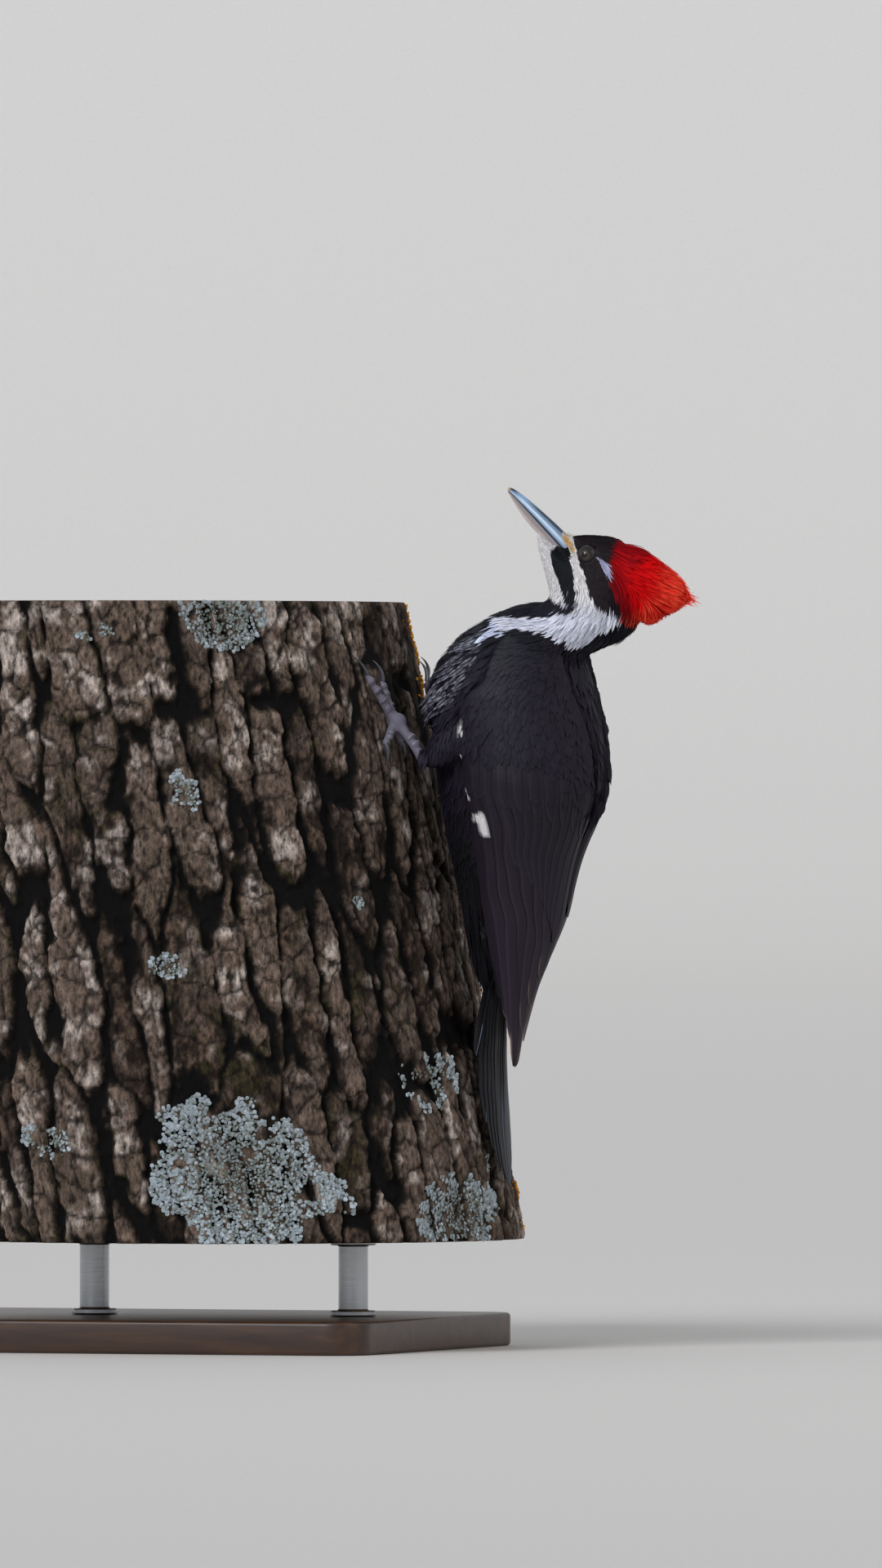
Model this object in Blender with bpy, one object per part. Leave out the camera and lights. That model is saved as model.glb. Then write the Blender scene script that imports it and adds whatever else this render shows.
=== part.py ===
"""A female pileated woodpecker clinging to a cut length of trunk, on a plain display stand.

Metres, +Z up. The XZ plane is the bird's mid-plane: the trunk lies on its -X side, the bird's back
faces +X and its left side faces -Y. The origin is the centre of the underside of the stand's base.
The solids reach out to the tips of the plumage, and touching pieces keep a gap of GAP.
"""

import math

import bmesh
import bpy
from mathutils import Matrix, Vector

GAP = 0.0003

# Stand: a flat base and two rods.
BASE_LENGTH = 0.320
BASE_DEPTH = 0.260
BASE_THICKNESS = 0.018
BASE_CORNER = 0.022
BASE_EDGE = 0.002
ROD_RADIUS = 0.008
ROD_SPACING = 0.150

# Perch: a leaning round log, both ends cut level.
TRUNK_RADIUS = 0.163
TRUNK_LEAN = math.radians(11.4)
LOG_BOTTOM = 0.060
LOG_TOP = 0.405
BARK_RIDGES = 22
BARK_STEPS = 5
FURROW_DEPTH = 0.007

# Body, neck and head in one loft. Each row: belly x, belly z, back x, back z, half width.
BODY_SEGMENTS = 26
BODY_RINGS = 25
TAIL_COVERTS_END = (0.1805, 0.2120, 0.2005, 0.2130, 0.0180)
TAIL_ROOT = (0.1715, 0.2430, 0.2140, 0.2460, 0.0225)
RUMP = (0.1660, 0.2700, 0.2350, 0.2720, 0.0315)
LOWER_BACK = (0.1600, 0.3000, 0.2520, 0.3000, 0.0385)
MIDDLE_BACK = (0.1575, 0.3310, 0.2535, 0.3270, 0.0395)
BREAST = (0.1545, 0.3570, 0.2495, 0.3490, 0.0390)
SHOULDERS = (0.1680, 0.3810, 0.2455, 0.3660, 0.0360)
NECK_ROOT = (0.1930, 0.3985, 0.2440, 0.3755, 0.0300)
NECK = (0.2100, 0.4035, 0.2592, 0.3808, 0.0245)
UPPER_NECK = (0.2190, 0.4050, 0.2735, 0.3930, 0.0215)
NAPE = (0.2220, 0.4060, 0.2760, 0.4130, 0.0195)
HIND_CROWN = (0.2230, 0.4080, 0.2720, 0.4300, 0.0175)
EYE_RING = (0.2225, 0.4120, 0.2620, 0.4395, 0.0158)
FORE_CROWN = (0.2190, 0.4240, 0.2520, 0.4408, 0.0140)
LORES = (0.2160, 0.4340, 0.2430, 0.4412, 0.0110)
BILL_ROOT = (0.2150, 0.4426, 0.2368, 0.4403, 0.0075)
BODY_ROWS = (
    TAIL_COVERTS_END,
    TAIL_ROOT,
    RUMP,
    LOWER_BACK,
    MIDDLE_BACK,
    BREAST,
    SHOULDERS,
    NECK_ROOT,
    NECK,
    UPPER_NECK,
    NAPE,
    HIND_CROWN,
    EYE_RING,
    FORE_CROWN,
    LORES,
    BILL_ROOT,
)
TORSO_CUT_HEIGHT = 0.300
TORSO_CUT_DEPTH = 0.208

# Crest. Each row: top x, top z, bottom x, bottom z, half width.
CREST_SEGMENTS = 14
CREST_RINGS = 8
CREST_ROWS = (
    (0.2610, 0.4382, 0.2660, 0.4018, 0.0120),
    (0.2725, 0.4362, 0.2760, 0.3920, 0.0137),
    (0.2820, 0.4298, 0.2840, 0.3926, 0.0110),
    (0.2920, 0.4230, 0.2930, 0.3975, 0.0075),
    (0.2995, 0.4165, 0.2995, 0.4010, 0.0040),
    (0.3030, 0.4110, 0.3035, 0.4060, 0.0015),
)

# Bill, measured back from its tip along the line where the two halves close.
BILL_TIP = Vector((0.1988, 0.0, 0.4657))
BILL_PITCH = math.radians(42.3)
BILL_LENGTH = 0.050
BILL_TIP_HALF_WIDTH = 0.0012
BILL_ROOT_HALF_WIDTH = 0.0058
CULMEN_HEIGHT = 0.0060
CULMEN_POWER = 0.33
GONYS_DEPTH = 0.0055
GONYS_LENGTH = 0.026
LOWER_BILL_START = 0.0012
BILL_ARC_POINTS = 9
BILL_RINGS = 9

# Eyes.
EYE_RADIUS = 0.0060
EYE_X = 0.2482
EYE_Y = 0.0097
EYE_Z = 0.4298

# Folded wing, as an arc of a level ellipse. Each row: z, centre x, half depth, half width,
# angle of the leading edge, angle of the edge over the back, thickness. Angles run from the back.
WING_ARC_POINTS = 10
WING_RINGS = 18
WING_EDGE = 0.0006
WING_ROWS = (
    (0.3935, 0.2130, 0.0250, 0.0275, 80.0, 52.0, 0.0030),
    (0.3850, 0.2075, 0.0390, 0.0345, 93.0, 42.0, 0.0065),
    (0.3680, 0.2025, 0.0470, 0.0405, 92.0, 34.0, 0.0080),
    (0.3500, 0.2010, 0.0515, 0.0435, 108.0, 26.0, 0.0085),
    (0.3300, 0.2045, 0.0515, 0.0440, 112.0, 19.0, 0.0080),
    (0.3000, 0.2090, 0.0455, 0.0430, 118.0, 11.0, 0.0075),
    (0.2750, 0.2070, 0.0345, 0.0375, 118.0, 4.0, 0.0065),
    (0.2510, 0.2050, 0.0300, 0.0310, 117.0, 3.0, 0.0055),
    (0.2270, 0.2050, 0.0255, 0.0270, 115.0, 3.0, 0.0045),
    (0.2050, 0.2050, 0.0155, 0.0225, 115.0, 4.0, 0.0036),
    (0.1810, 0.2045, 0.0075, 0.0175, 106.0, 5.0, 0.0028),
    (0.1610, 0.2040, 0.0030, 0.0120, 100.0, 8.0, 0.0020),
    (0.1520, 0.2046, 0.0010, 0.0065, 95.0, 35.0, 0.0014),
)
# The right wing is folded a little tighter, so that its tip lies higher.
RIGHT_TIP_RISE = 0.0140
RIGHT_FOLD_HEIGHT = 0.2600
COVERT_CUT_LOW = Vector((0.180, 0.0, 0.318))
COVERT_CUT_HIGH = Vector((0.256, 0.0, 0.296))
PRIMARY_CUT_LOW = Vector((0.2265, 0.0, 0.216))
PRIMARY_CUT_HIGH = Vector((0.1905, 0.0, 0.306))

# Tail. Each row: z, centre x, centre y, half width, drop of the edges, thickness.
TAIL_ARC_POINTS = 9
TAIL_RINGS = 12
TAIL_ROWS = (
    (0.2115, 0.1955, 0.0000, 0.0185, 0.0030, 0.0060),
    (0.1800, 0.1938, 0.0000, 0.0235, 0.0045, 0.0045),
    (0.1500, 0.1933, 0.0010, 0.0265, 0.0045, 0.0038),
    (0.1250, 0.1940, 0.0020, 0.0255, 0.0028, 0.0034),
    (0.1050, 0.1955, 0.0030, 0.0225, 0.0016, 0.0030),
    (0.0950, 0.1968, 0.0035, 0.0175, 0.0010, 0.0026),
    (0.0885, 0.1977, 0.0040, 0.0080, 0.0003, 0.0020),
)

# Legs and feet, for the bird's left side; the right side mirrors it.
THIGH_TOP = Vector((0.190, -0.026, 0.340))
THIGH_RADIUS = 0.0150
HEEL = Vector((0.1655, -0.0370, 0.3170))
HEEL_RADIUS = 0.0042
TARSUS_RADIUS = 0.0027
FOOT_SIDE = 0.031
FOOT_HEIGHT = 0.340
FOOT_RADIUS = 0.0052
TOE_ROOT_RADIUS = 0.0029
TOE_END_RADIUS = 0.0021
CLAW_RADIUS = 0.0017
CLAW_TIP_RADIUS = 0.0003
CLAW_RISE = 0.0022
TUBE_SEGMENTS = 8
TOE_RINGS = 6
CLAW_RINGS = 6
# Each toe: number, side and height of its end, then of its claw's tip. A toe gives way to those before it.
TOES = (
    (3, 0.0470, 0.3650, 0.0535, 0.3755),
    (2, 0.0345, 0.3620, 0.0365, 0.3730),
    (4, 0.0430, 0.3275, 0.0440, 0.3165),
    (1, 0.0265, 0.3285, 0.0255, 0.3195),
)

BLACK_PLUMAGE = ((0.020, 0.017, 0.022), 0.55, 0.0)
WING_PLUMAGE = ((0.026, 0.021, 0.026), 0.50, 0.0)
TAIL_PLUMAGE = ((0.014, 0.014, 0.018), 0.50, 0.0)
FACE_PLUMAGE = ((0.60, 0.58, 0.60), 0.70, 0.0)
RED_PLUMAGE = ((0.60, 0.010, 0.002), 0.55, 0.0)
UPPER_HORN = ((0.22, 0.34, 0.50), 0.30, 0.0)
LOWER_HORN = ((0.42, 0.38, 0.36), 0.35, 0.0)
EYE_GLOSS = ((0.10, 0.07, 0.03), 0.05, 0.0)
FOOT_SCALES = ((0.16, 0.15, 0.19), 0.50, 0.0)
CLAW_HORN = ((0.05, 0.05, 0.06), 0.30, 0.0)
BARK = ((0.14, 0.11, 0.09), 0.90, 0.0)
STAND_WOOD = ((0.05, 0.03, 0.02), 0.45, 0.0)
ROD_STEEL = ((0.30, 0.30, 0.31), 0.30, 1.0)

ACROSS = Vector((0.0, 1.0, 0.0))


def clear_scene():
    for obj in list(bpy.data.objects):
        bpy.data.objects.remove(obj, do_unlink=True)


def principled(name, finish):
    """A Principled material; finish is its colour, roughness and metallic value."""
    colour, roughness, metallic = finish
    material = bpy.data.materials.new(name)
    material.use_nodes = True
    shader = material.node_tree.nodes["Principled BSDF"]
    shader.inputs["Base Color"].default_value = (*colour, 1.0)
    shader.inputs["Roughness"].default_value = roughness
    shader.inputs["Metallic"].default_value = metallic
    return material


def add_object(name, bm, finish, sharp_degrees=40.0):
    """Turns a bmesh into a named, smooth-shaded object with its own material."""
    bmesh.ops.recalc_face_normals(bm, faces=bm.faces)
    mesh = bpy.data.meshes.new(name)
    bm.to_mesh(mesh)
    bm.free()
    mesh.shade_smooth()
    mesh.set_sharp_from_angle(angle=math.radians(sharp_degrees))
    mesh.materials.append(principled(name, finish))
    obj = bpy.data.objects.new(name, mesh)
    bpy.context.scene.collection.objects.link(obj)
    return obj


def smooth_rows(rows, count):
    """Reads a smooth curve through rows of numbers at count even steps."""
    result = []
    for step in range(count):
        place = step * (len(rows) - 1) / (count - 1)
        index = min(int(place), len(rows) - 2)
        t = place - index
        before = rows[max(index - 1, 0)]
        start = rows[index]
        end = rows[index + 1]
        after = rows[min(index + 2, len(rows) - 1)]
        row = []
        for a, b, c, d in zip(before, start, end, after):
            row.append(
                0.5 * (2 * b + (c - a) * t + (2 * a - 5 * b + 4 * c - d) * t**2
                       + (3 * b - a - 3 * c + d) * t**3)
            )
        result.append(row)
    return result


def add_ring(bm, points):
    """Adds one closed ring through points and returns its edges."""
    circle = bmesh.ops.create_circle(bm, segments=len(points), radius=1.0)
    for vertex, point in zip(circle["verts"], points):
        vertex.co = point
    return list({edge for vertex in circle["verts"] for edge in vertex.link_edges})


def loft(rings):
    """Bridges rings of points one after another and closes both ends."""
    bm = bmesh.new()
    edges = [add_ring(bm, points) for points in rings]
    for lower, upper in zip(edges, edges[1:]):
        bmesh.ops.bridge_loops(bm, edges=lower + upper)
    bmesh.ops.contextual_create(bm, geom=edges[0])
    bmesh.ops.contextual_create(bm, geom=edges[-1])
    bmesh.ops.recalc_face_normals(bm, faces=bm.faces)
    return bm


def oval(first, second, half_width, segments):
    """An oval ring through two points of the mid-plane, half_width to each side."""
    centre = (first + second) / 2
    depth = (second - first) / 2
    ring = []
    for step in range(segments):
        angle = 2 * math.pi * step / segments
        ring.append(centre + depth * math.cos(angle) + ACROSS * (half_width * math.sin(angle)))
    return ring


def oval_loft(rows, count, segments):
    """A loft of ovals whose rows give two mid-plane points and a half width."""
    rings = []
    for x1, z1, x2, z2, half_width in smooth_rows(rows, count):
        rings.append(oval(Vector((x1, 0, z1)), Vector((x2, 0, z2)), half_width, segments))
    return loft(rings)


def tube(points, radii, segments):
    """A round solid along points, with a radius at each."""
    rings = []
    for index, (point, radius) in enumerate(zip(points, radii)):
        ahead = points[min(index + 1, len(points) - 1)]
        behind = points[max(index - 1, 0)]
        turn = (ahead - behind).to_track_quat("Z", "Y")
        ring = []
        for step in range(segments):
            angle = 2 * math.pi * step / segments
            ring.append(point + turn @ Vector((radius * math.cos(angle), radius * math.sin(angle), 0)))
        rings.append(ring)
    return loft(rings)


def keep_side(bm, point, normal):
    """Cuts a solid by a plane, keeps the side that normal points to, and closes the cut."""
    everything = list(bm.verts) + list(bm.edges) + list(bm.faces)
    bmesh.ops.bisect_plane(bm, geom=everything, dist=1e-7, plane_co=point, plane_no=normal, clear_inner=True)
    bmesh.ops.holes_fill(bm, edges=[edge for edge in bm.edges if edge.is_boundary])


def cut_plane(low, high, side):
    """The plane across the bird through two mid-plane points, moved half a gap to one side."""
    along = (high - low).normalized()
    normal = along.cross(ACROSS) * side
    return low + normal * (GAP / 2), normal


def slice_of(source, planes):
    """A copy of a solid cut down by several planes."""
    bm = source.copy()
    for point, normal in planes:
        keep_side(bm, point, normal)
    return bm


def grown_cutter(name, source, amount):
    """A hidden copy of a solid, grown outwards, for cutting its neighbours clear of it."""
    bm = source.copy()
    bmesh.ops.recalc_face_normals(bm, faces=bm.faces)
    bm.normal_update()
    for vertex in bm.verts:
        vertex.co += vertex.normal * amount * vertex.calc_shell_factor()
    mesh = bpy.data.meshes.new(name)
    bm.to_mesh(mesh)
    bm.free()
    cutter = bpy.data.objects.new(name, mesh)
    bpy.context.scene.collection.objects.link(cutter)
    cutter.hide_render = True
    cutter.display_type = "WIRE"
    return cutter


def carve(obj, cutters):
    """Subtracts each cutter from the object."""
    for cutter in cutters:
        modifier = obj.modifiers.new(f"clear_{cutter.name}", "BOOLEAN")
        modifier.operation = "DIFFERENCE"
        modifier.solver = "EXACT"
        modifier.object = cutter


def axis_x(z):
    """The x of the log's axis at a height; the axis crosses x = 0 half way up the log."""
    return ((LOG_BOTTOM + LOG_TOP) / 2 - z) * math.tan(TRUNK_LEAN)


def furrow(angle):
    """How deep the bark's outline dips at an angle: flat ridges with narrow furrows between."""
    across = 0.5 + 0.5 * math.cos(BARK_RIDGES * angle)
    return FURROW_DEPTH * (1 - across) ** 3


def on_trunk(side, z, height):
    """The point over the trunk's surface at a distance across and a height, for the left foot."""
    angle = math.asin(side / TRUNK_RADIUS)
    radius = TRUNK_RADIUS + height
    x = axis_x(z) + radius * math.cos(angle) / math.cos(TRUNK_LEAN)
    return Vector((x, -radius * math.sin(angle), z))


def build_stand():
    bm = bmesh.new()
    size = Matrix.Diagonal((BASE_LENGTH, BASE_DEPTH, BASE_THICKNESS, 1.0))
    bmesh.ops.create_cube(bm, size=1.0, matrix=Matrix.Translation((0, 0, BASE_THICKNESS / 2)) @ size)
    upright = [edge for edge in bm.edges if abs(edge.verts[0].co.z - edge.verts[1].co.z) > BASE_EDGE]
    bmesh.ops.bevel(bm, geom=upright, offset=BASE_CORNER, segments=5, profile=0.5, affect="EDGES", material=-1)
    rim = [edge for edge in bm.edges if min(vertex.co.z for vertex in edge.verts) > BASE_THICKNESS - 1e-6]
    bmesh.ops.bevel(bm, geom=rim, offset=BASE_EDGE, segments=2, profile=0.5, affect="EDGES", material=-1)
    add_object("stand_base", bm, STAND_WOOD)
    length = LOG_BOTTOM - BASE_THICKNESS - 2 * GAP
    for name, side in (("stand_rod_near_bird", 1), ("stand_rod_far_from_bird", -1)):
        bm = bmesh.new()
        place = Matrix.Translation((
            axis_x(LOG_BOTTOM) + side * ROD_SPACING / 2,
            0.0,
            BASE_THICKNESS + GAP + length / 2,
        ))
        bmesh.ops.create_cone(
            bm, cap_ends=True, segments=20, radius1=ROD_RADIUS, radius2=ROD_RADIUS, depth=length, matrix=place
        )
        add_object(name, bm, ROD_STEEL)


def build_log():
    bm = bmesh.new()
    outline = []
    count = BARK_RIDGES * BARK_STEPS
    for step in range(count):
        angle = 2 * math.pi * step / count
        radius = TRUNK_RADIUS - furrow(angle)
        x = axis_x(LOG_BOTTOM) + radius * math.cos(angle) / math.cos(TRUNK_LEAN)
        outline.append(Vector((x, radius * math.sin(angle), LOG_BOTTOM)))
    edges = add_ring(bm, outline)
    face = bmesh.ops.contextual_create(bm, geom=edges)["faces"][0]
    raised = bmesh.ops.extrude_face_region(bm, geom=[face], use_keep_orig=True)["geom"]
    lift = Vector((axis_x(LOG_TOP) - axis_x(LOG_BOTTOM), 0.0, LOG_TOP - LOG_BOTTOM))
    bmesh.ops.translate(bm, verts=[item for item in raised if isinstance(item, bmesh.types.BMVert)], vec=lift)
    add_object("perch_log", bm, BARK)


def mid_point(row, back):
    """The belly or back point of a body row."""
    return Vector((row[2], 0.0, row[3])) if back else Vector((row[0], 0.0, row[1]))


def row_plane(row, side):
    """The cutting plane through a body row; side 1 keeps what lies towards the head."""
    return cut_plane(mid_point(row, False), mid_point(row, True), side)


def build_body(body, bills, eyes):
    """Parts the one loft into rump, belly, back, breast, neck and head."""
    level = Vector((1, 0, TORSO_CUT_HEIGHT)), Vector((0, 0, TORSO_CUT_HEIGHT))
    fore = Vector((TORSO_CUT_DEPTH, 0, 0)), Vector((TORSO_CUT_DEPTH, 0, 1))
    above = cut_plane(*level, 1)
    below = cut_plane(*level, -1)
    if above[1].z < 0:
        above, below = below, above
    behind = cut_plane(*fore, 1)
    before = cut_plane(*fore, -1)
    if behind[1].x < 0:
        behind, before = before, behind
    to_neck = row_plane(NECK_ROOT, -1)
    parts = (
        ("rump", (below, behind), BLACK_PLUMAGE),
        ("belly", (below, before), BLACK_PLUMAGE),
        ("back", (above, behind, to_neck), BLACK_PLUMAGE),
        ("breast", (above, before, to_neck), BLACK_PLUMAGE),
        ("neck", (row_plane(NECK_ROOT, 1), row_plane(UPPER_NECK, -1)), FACE_PLUMAGE),
    )
    for name, planes, finish in parts:
        add_object(name, slice_of(body, planes), finish)
    head = add_object("head", slice_of(body, (row_plane(UPPER_NECK, 1),)), BLACK_PLUMAGE)
    carve(head, bills + eyes)


def bill_place(distance, height, side):
    """A point of the bill: distance from the tip, height over the closing line, distance to one side."""
    back = Vector((math.cos(BILL_PITCH), 0.0, -math.sin(BILL_PITCH)))
    up = Vector((math.sin(BILL_PITCH), 0.0, math.cos(BILL_PITCH)))
    return BILL_TIP + back * distance + up * height + ACROSS * side


def bill_half(sign, start, height_at):
    """One half of the bill: an arched section with a flat closing face, widening to the root."""
    rings = []
    for step in range(BILL_RINGS):
        distance = start + (BILL_LENGTH - start) * (step / (BILL_RINGS - 1)) ** 1.4
        share = distance / BILL_LENGTH
        half_width = BILL_TIP_HALF_WIDTH + (BILL_ROOT_HALF_WIDTH - BILL_TIP_HALF_WIDTH) * share
        height = height_at(distance)
        ring = []
        for index in range(BILL_ARC_POINTS):
            angle = math.pi * index / (BILL_ARC_POINTS - 1)
            rise = GAP / 2 + (height - GAP / 2) * math.sin(angle)
            ring.append(bill_place(distance, sign * rise, half_width * math.cos(angle)))
        ring.append(bill_place(distance, sign * GAP / 2, -half_width / 3))
        ring.append(bill_place(distance, sign * GAP / 2, half_width / 3))
        rings.append(ring)
    return loft(rings)


def culmen(distance):
    """Height of the upper half over the closing line."""
    return CULMEN_HEIGHT * (max(distance, 0.0006) / BILL_LENGTH) ** CULMEN_POWER


def gonys(distance):
    """Depth of the lower half under the closing line."""
    return 0.0006 + (GONYS_DEPTH - 0.0006) * math.sin(min(1.0, distance / GONYS_LENGTH) * math.pi / 2)


def build_bill():
    upper = bill_half(1, 0.0, culmen)
    lower = bill_half(-1, LOWER_BILL_START, gonys)
    cutters = [grown_cutter("cutter_bill_upper", upper, GAP), grown_cutter("cutter_bill_lower", lower, GAP)]
    add_object("bill_upper", upper, UPPER_HORN, 50.0)
    add_object("bill_lower", lower, LOWER_HORN, 50.0)
    return cutters


def build_eyes():
    cutters = []
    for name, side in (("eye_left", -1), ("eye_right", 1)):
        bm = bmesh.new()
        place = Matrix.Translation((EYE_X, side * EYE_Y, EYE_Z)) @ Matrix.Rotation(math.pi / 2, 4, "X")
        bmesh.ops.create_uvsphere(bm, u_segments=14, v_segments=8, radius=EYE_RADIUS, matrix=place)
        cutters.append(grown_cutter(f"cutter_{name}", bm, GAP))
        add_object(name, bm, EYE_GLOSS, 80.0)
    return cutters


def build_crest(body_cutter):
    crest = add_object("crest", oval_loft(CREST_ROWS, CREST_RINGS, CREST_SEGMENTS), RED_PLUMAGE)
    carve(crest, [body_cutter])


def wing_ring(row, mirror):
    """One level section of the folded wing: an outer arc and an inner arc that meet in thin edges."""
    z, centre, half_depth, half_width, leading, trailing, thickness = row
    if mirror < 0:
        share = (RIGHT_FOLD_HEIGHT - z) / (RIGHT_FOLD_HEIGHT - WING_ROWS[-1][0])
        z += RIGHT_TIP_RISE * max(0.0, share)
    outer = []
    inner = []
    for index in range(WING_ARC_POINTS):
        share = index / (WING_ARC_POINTS - 1)
        angle = math.radians(leading + (trailing - leading) * share)
        across = math.sin(math.pi * min(max(share, 0.03), 0.97)) ** 0.6
        wall = WING_EDGE + (thickness - WING_EDGE) * across
        for arc, inset in ((outer, 0.0), (inner, wall)):
            depth = max(half_depth - inset, 0.0)
            width = half_width - inset * min(1.0, math.sin(angle) + 0.1)
            x = centre + depth * math.cos(angle)
            if inset:
                x -= max(inset - half_depth, 0.0)
            arc.append(Vector((x, -mirror * width * math.sin(angle), z)))
    return outer + inner[::-1]


def build_wing(name, mirror, body_cutter):
    """The folded wing parted into coverts, secondaries and primaries."""
    shell = loft([wing_ring(row, mirror) for row in smooth_rows(WING_ROWS, WING_RINGS)])
    covert_up = cut_plane(COVERT_CUT_LOW, COVERT_CUT_HIGH, -1)
    covert_down = cut_plane(COVERT_CUT_LOW, COVERT_CUT_HIGH, 1)
    if covert_up[1].z < 0:
        covert_up, covert_down = covert_down, covert_up
    dorsal = cut_plane(PRIMARY_CUT_LOW, PRIMARY_CUT_HIGH, 1)
    ventral = cut_plane(PRIMARY_CUT_LOW, PRIMARY_CUT_HIGH, -1)
    if dorsal[1].x < 0:
        dorsal, ventral = ventral, dorsal
    for part, planes in (
        ("coverts", (covert_up,)),
        ("secondaries", (covert_down, dorsal)),
        ("primaries", (covert_down, ventral)),
    ):
        obj = add_object(f"{name}_{part}", slice_of(shell, planes), WING_PLUMAGE)
        carve(obj, [body_cutter])
    return grown_cutter(f"cutter_{name}", shell, GAP)


def tail_ring(row):
    """One level section of the tail: a thin sheet, hollow towards the trunk."""
    z, centre_x, centre_y, half_width, drop, thickness = row
    over = []
    under = []
    for index in range(TAIL_ARC_POINTS):
        share = -1 + 2 * index / (TAIL_ARC_POINTS - 1)
        half = thickness / 2 * (0.25 + 0.75 * math.sqrt(1 - 0.98 * share**2))
        x = centre_x - drop * share**2
        y = centre_y + half_width * share
        over.append(Vector((x + half, y, z)))
        under.append(Vector((x - half, y, z)))
    return over + under[::-1]


def build_tail():
    rings = [tail_ring(row) for row in smooth_rows(TAIL_ROWS, TAIL_RINGS)]
    add_object("tail", loft(rings), TAIL_PLUMAGE)


def mirrored(point, mirror):
    return Vector((point.x, mirror * point.y, point.z))


def build_leg(side_name, mirror, body_cutter, wing_cutter):
    """Thigh, tarsus, foot, toes and claws of one side."""
    top = mirrored(THIGH_TOP, mirror)
    heel = mirrored(HEEL, mirror)
    shares = [step / 7 for step in range(8)]
    points = [top.lerp(heel, share) for share in shares]
    radii = [HEEL_RADIUS + (THIGH_RADIUS - HEEL_RADIUS) * math.cos(share * math.pi / 2) ** 0.8 for share in shares]
    thigh_solid = tube(points, radii, 14)
    thigh_cutter = grown_cutter(f"cutter_thigh_{side_name}", thigh_solid, GAP)
    thigh = add_object(f"thigh_{side_name}", thigh_solid, BLACK_PLUMAGE)
    carve(thigh, [body_cutter, wing_cutter])

    centre = mirrored(on_trunk(FOOT_SIDE, FOOT_HEIGHT, FOOT_RADIUS + 2 * GAP), mirror)
    bm = bmesh.new()
    bmesh.ops.create_uvsphere(
        bm, u_segments=12, v_segments=8, radius=FOOT_RADIUS, matrix=Matrix.Translation(centre)
    )
    foot_cutter = grown_cutter(f"cutter_foot_{side_name}", bm, GAP)
    add_object(f"foot_{side_name}", bm, FOOT_SCALES, 80.0)

    points = [heel.lerp(centre, share) for share in (0.0, 0.25, 0.5, 0.75, 1.0)]
    radii = [HEEL_RADIUS, TARSUS_RADIUS * 1.1, TARSUS_RADIUS, TARSUS_RADIUS * 1.1, TARSUS_RADIUS * 1.4]
    tarsus = add_object(f"tarsus_{side_name}", tube(points, radii, 10), FOOT_SCALES)
    carve(tarsus, [foot_cutter, thigh_cutter])

    toe_cutters = [foot_cutter]
    for number, end_side, end_height, tip_side, tip_height in TOES:
        points = []
        radii = []
        for step in range(TOE_RINGS):
            share = step / (TOE_RINGS - 1)
            radius = TOE_ROOT_RADIUS + (TOE_END_RADIUS - TOE_ROOT_RADIUS) * share
            side = FOOT_SIDE + (end_side - FOOT_SIDE) * share
            height = FOOT_HEIGHT + (end_height - FOOT_HEIGHT) * share
            points.append(mirrored(on_trunk(side, height, radius + 2 * GAP), mirror))
            radii.append(radius)
        toe_solid = tube(points, radii, TUBE_SEGMENTS)
        toe_cutter = grown_cutter(f"cutter_toe_{side_name}_{number}", toe_solid, GAP)
        carve(add_object(f"toe_{side_name}_{number}", toe_solid, FOOT_SCALES), toe_cutters)
        toe_cutters.append(toe_cutter)
        start = points[-1]
        tip = mirrored(on_trunk(tip_side, tip_height, CLAW_TIP_RADIUS + 2 * GAP), mirror)
        outward = (start - Vector((axis_x(start.z), 0.0, start.z))).normalized()
        points = []
        radii = []
        for step in range(CLAW_RINGS):
            share = step / (CLAW_RINGS - 1)
            points.append(start.lerp(tip, share) + outward * (CLAW_RISE * math.sin(math.pi * share)))
            radii.append(CLAW_RADIUS + (CLAW_TIP_RADIUS - CLAW_RADIUS) * share)
        claw = add_object(f"claw_{side_name}_{number}", tube(points, radii, TUBE_SEGMENTS), CLAW_HORN, 60.0)
        carve(claw, [toe_cutter])


def main():
    clear_scene()
    build_stand()
    build_log()
    body = oval_loft(BODY_ROWS, BODY_RINGS, BODY_SEGMENTS)
    body_cutter = grown_cutter("cutter_body", body, GAP)
    build_body(body, build_bill(), build_eyes())
    build_crest(body_cutter)
    build_tail()
    for side_name, mirror in (("left", 1), ("right", -1)):
        wing_cutter = build_wing(f"wing_{side_name}", mirror, body_cutter)
        build_leg(side_name, mirror, body_cutter, wing_cutter)
    body.free()


main()
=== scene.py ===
"""The looks of a female pileated woodpecker that clings to a cut length of trunk on a display stand.

Metres, +Z up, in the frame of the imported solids: the XZ plane is the bird's mid-plane, the trunk
lies on its -X side, its back faces +X and its left side faces -Y. Marks on the head and wing are
given in millimetres from the brow, just over the eye: along the bill and square to it, or behind and
below it.
"""

import logging
import math
from collections.abc import Callable, Iterable, Sequence
from dataclasses import dataclass
from enum import Enum
from itertools import product

import bmesh
import bpy
import numpy as np
from mathutils import Matrix, Vector
from mathutils.bvhtree import BVHTree

import sys


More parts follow.
